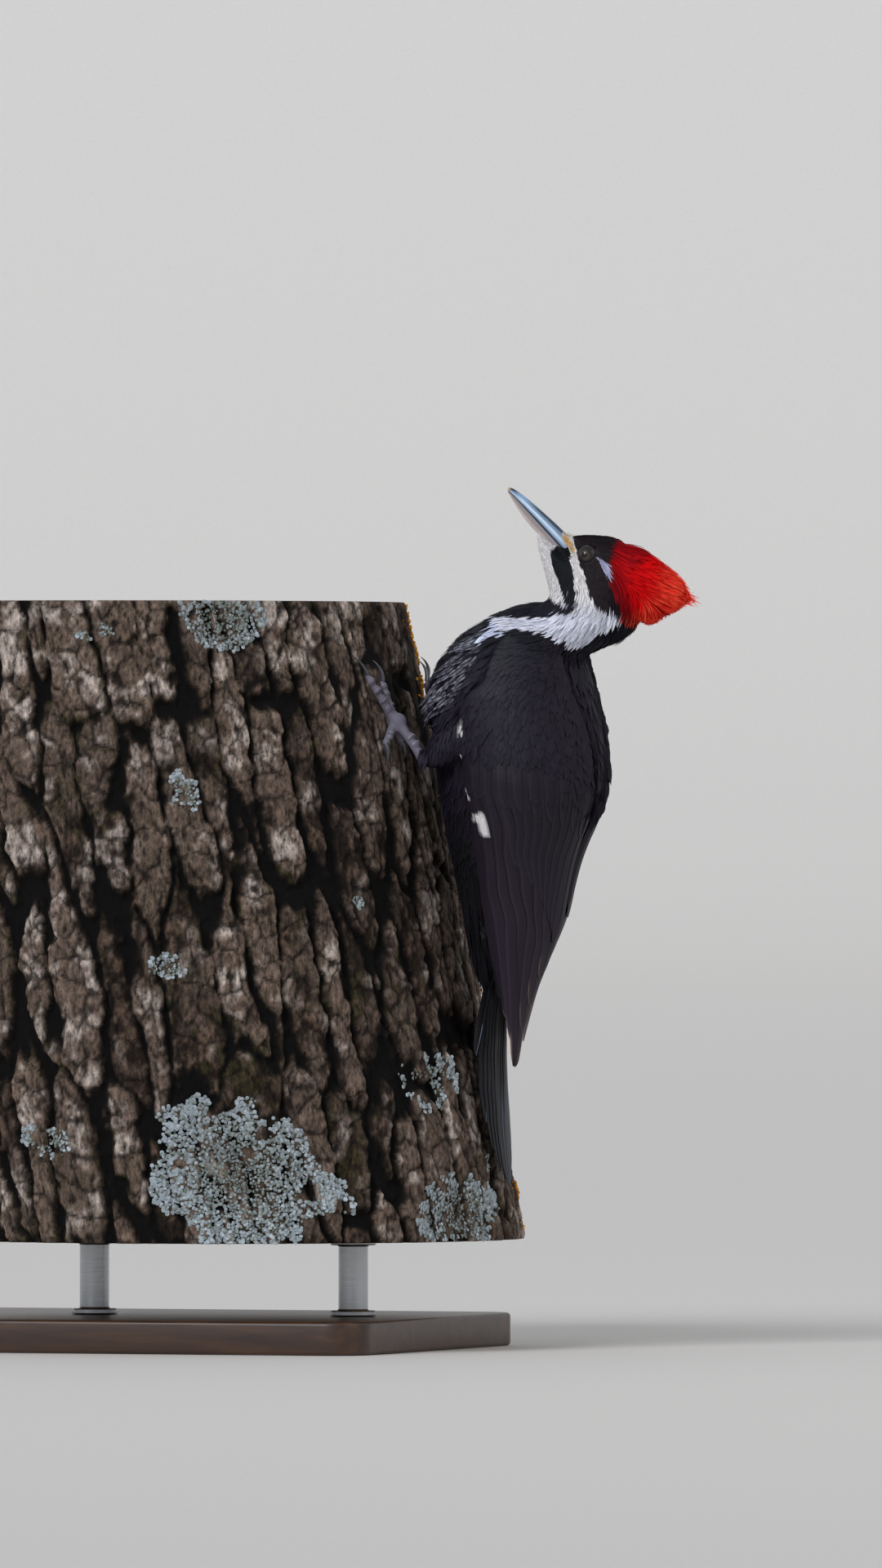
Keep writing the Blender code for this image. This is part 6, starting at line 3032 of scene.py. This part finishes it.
class Studio:
    """Plain pale floor and backdrop, soft lights and the camera."""

    azimuth = math.radians(20.0)
    distance = 12.0
    view_height = 0.8519
    aim_side = 0.1507
    aim_height = 0.3064
    floor_width = 80.0
    floor_ahead = 30.0
    floor_behind = 28.0
    curve_radius = 6.0
    backdrop_height = 20.0
    curve_steps = 16
    key_angle = math.radians(28)
    key_energy = 1.6
    fill_size = 2.0
    fill_energy = 9.0
    sky_strength = 0.55

    def build(self) -> None:
        """Makes the whole studio, shown without any tone curve so that colours stay true."""
        bpy.context.scene.view_settings.view_transform = "Standard"
        self.backdrop()
        self.lights()
        self.camera()

    def to_room(self, side: float, depth: float, height: float) -> Vector:
        """A place given to the right of the middle, away from the camera, and above the floor.

        Args:
            side: Metres to the right.
            depth: Metres away.
            height: Metres up.

        Returns:
            The place.
        """
        right = Vector((math.cos(self.azimuth), math.sin(self.azimuth), 0))
        away = Vector((-math.sin(self.azimuth), math.cos(self.azimuth), 0))
        return right * side + away * depth + Vector((0, 0, height))

    def backdrop(self) -> None:
        """A floor that curves up into a backdrop."""
        bm = bmesh.new()
        half = self.floor_width / 2
        profile = [(-self.floor_ahead, 0.0), (self.floor_behind - self.curve_radius, 0.0)]
        for step in range(1, self.curve_steps + 1):
            angle = math.pi / 2 * step / self.curve_steps
            profile.append((
                self.floor_behind - self.curve_radius + self.curve_radius * math.sin(angle),
                self.curve_radius * (1 - math.cos(angle)),
            ))
        profile.append((self.floor_behind, self.backdrop_height))
        verts = [bm.verts.new(self.to_room(-half, depth, height)) for depth, height in profile]
        edges = [bm.edges.new(pair) for pair in zip(verts, verts[1:])]
        made = bmesh.ops.extrude_edge_only(bm, edges=edges)["geom"]
        moved = [item for item in made if isinstance(item, bmesh.types.BMVert)]
        bmesh.ops.translate(bm, verts=moved, vec=self.to_room(self.floor_width, 0, 0))
        mesh = mesh_from("studio_floor", bm, 180.0)
        material, tree, shader = start_material("matt_paper", Roughness=0.9)
        grain = noise(tree, object_place(tree), 300.0, Detail=2.0)
        ramp(tree, shader, grain, ((0.3, "#d9d6d1"), (0.7, "#dedbd6")))
        mesh.materials.append(material)
        floor = show("studio_floor", mesh)

    def lights(self) -> None:
        """A broad soft key that lights the whole floor evenly, a fill, and a pale sky all round."""
        model = Vector((self.aim_side, 0, self.aim_height))
        key = bpy.data.lights.new("key", "SUN")
        key.angle = self.key_angle
        key.energy = self.key_energy
        fill = bpy.data.lights.new("fill", "AREA")
        fill.size = self.fill_size
        fill.energy = self.fill_energy
        for data, place, colour in ((key, (-1.1, -2.1, 1.9), "#f8f9ff"), (fill, (2.4, -1.2, 1.6), "#fff3e6")):
            data.color = linear(colour)
            lamp = show(data.name, data)
            lamp.location = self.to_room(*place)
            lamp.rotation_euler = (model - lamp.location).to_track_quat("-Z", "Y").to_euler()
        world = bpy.data.worlds.new("soft_daylight")
        world.use_nodes = True
        background = world.node_tree.nodes["Background"]
        background.inputs["Color"].default_value = (*linear("#e6ebf2"), 1.0)
        background.inputs["Strength"].default_value = self.sky_strength
        bpy.context.scene.world = world

    def camera(self) -> None:
        """A long lens level with the model."""
        data = bpy.data.cameras.new("camera")
        data.sensor_width = 36.0
        data.lens = data.sensor_width * self.distance / self.view_height
        data.clip_end = 50.0
        camera = show("camera", data)
        camera.location = self.to_room(self.aim_side, -self.distance, self.aim_height)
        camera.rotation_euler = self.to_room(0, 1, 0).to_track_quat("-Z", "Y").to_euler()
        bpy.context.scene.camera = camera


def main() -> None:
    """Builds the model piece by piece."""
    logging.basicConfig(level=logging.INFO, format="%(name)s: %(message)s", stream=sys.stdout)
    body = Body()
    marks = Marks(body)
    bill = Bill(body)
    skin = Skin(body, bill)
    skin.build(marks)
    Plumage(body, Coat(skin, marks)).build()
    Wings(marks).build()
    Tail().build()
    bill.build()
    Eyes(body).build()
    Feet(body).build()
    log = Log()
    log.build()
    Lichens(log).build()
    Stand().build()
    Studio().build()


if __name__ == "__main__":
    main()
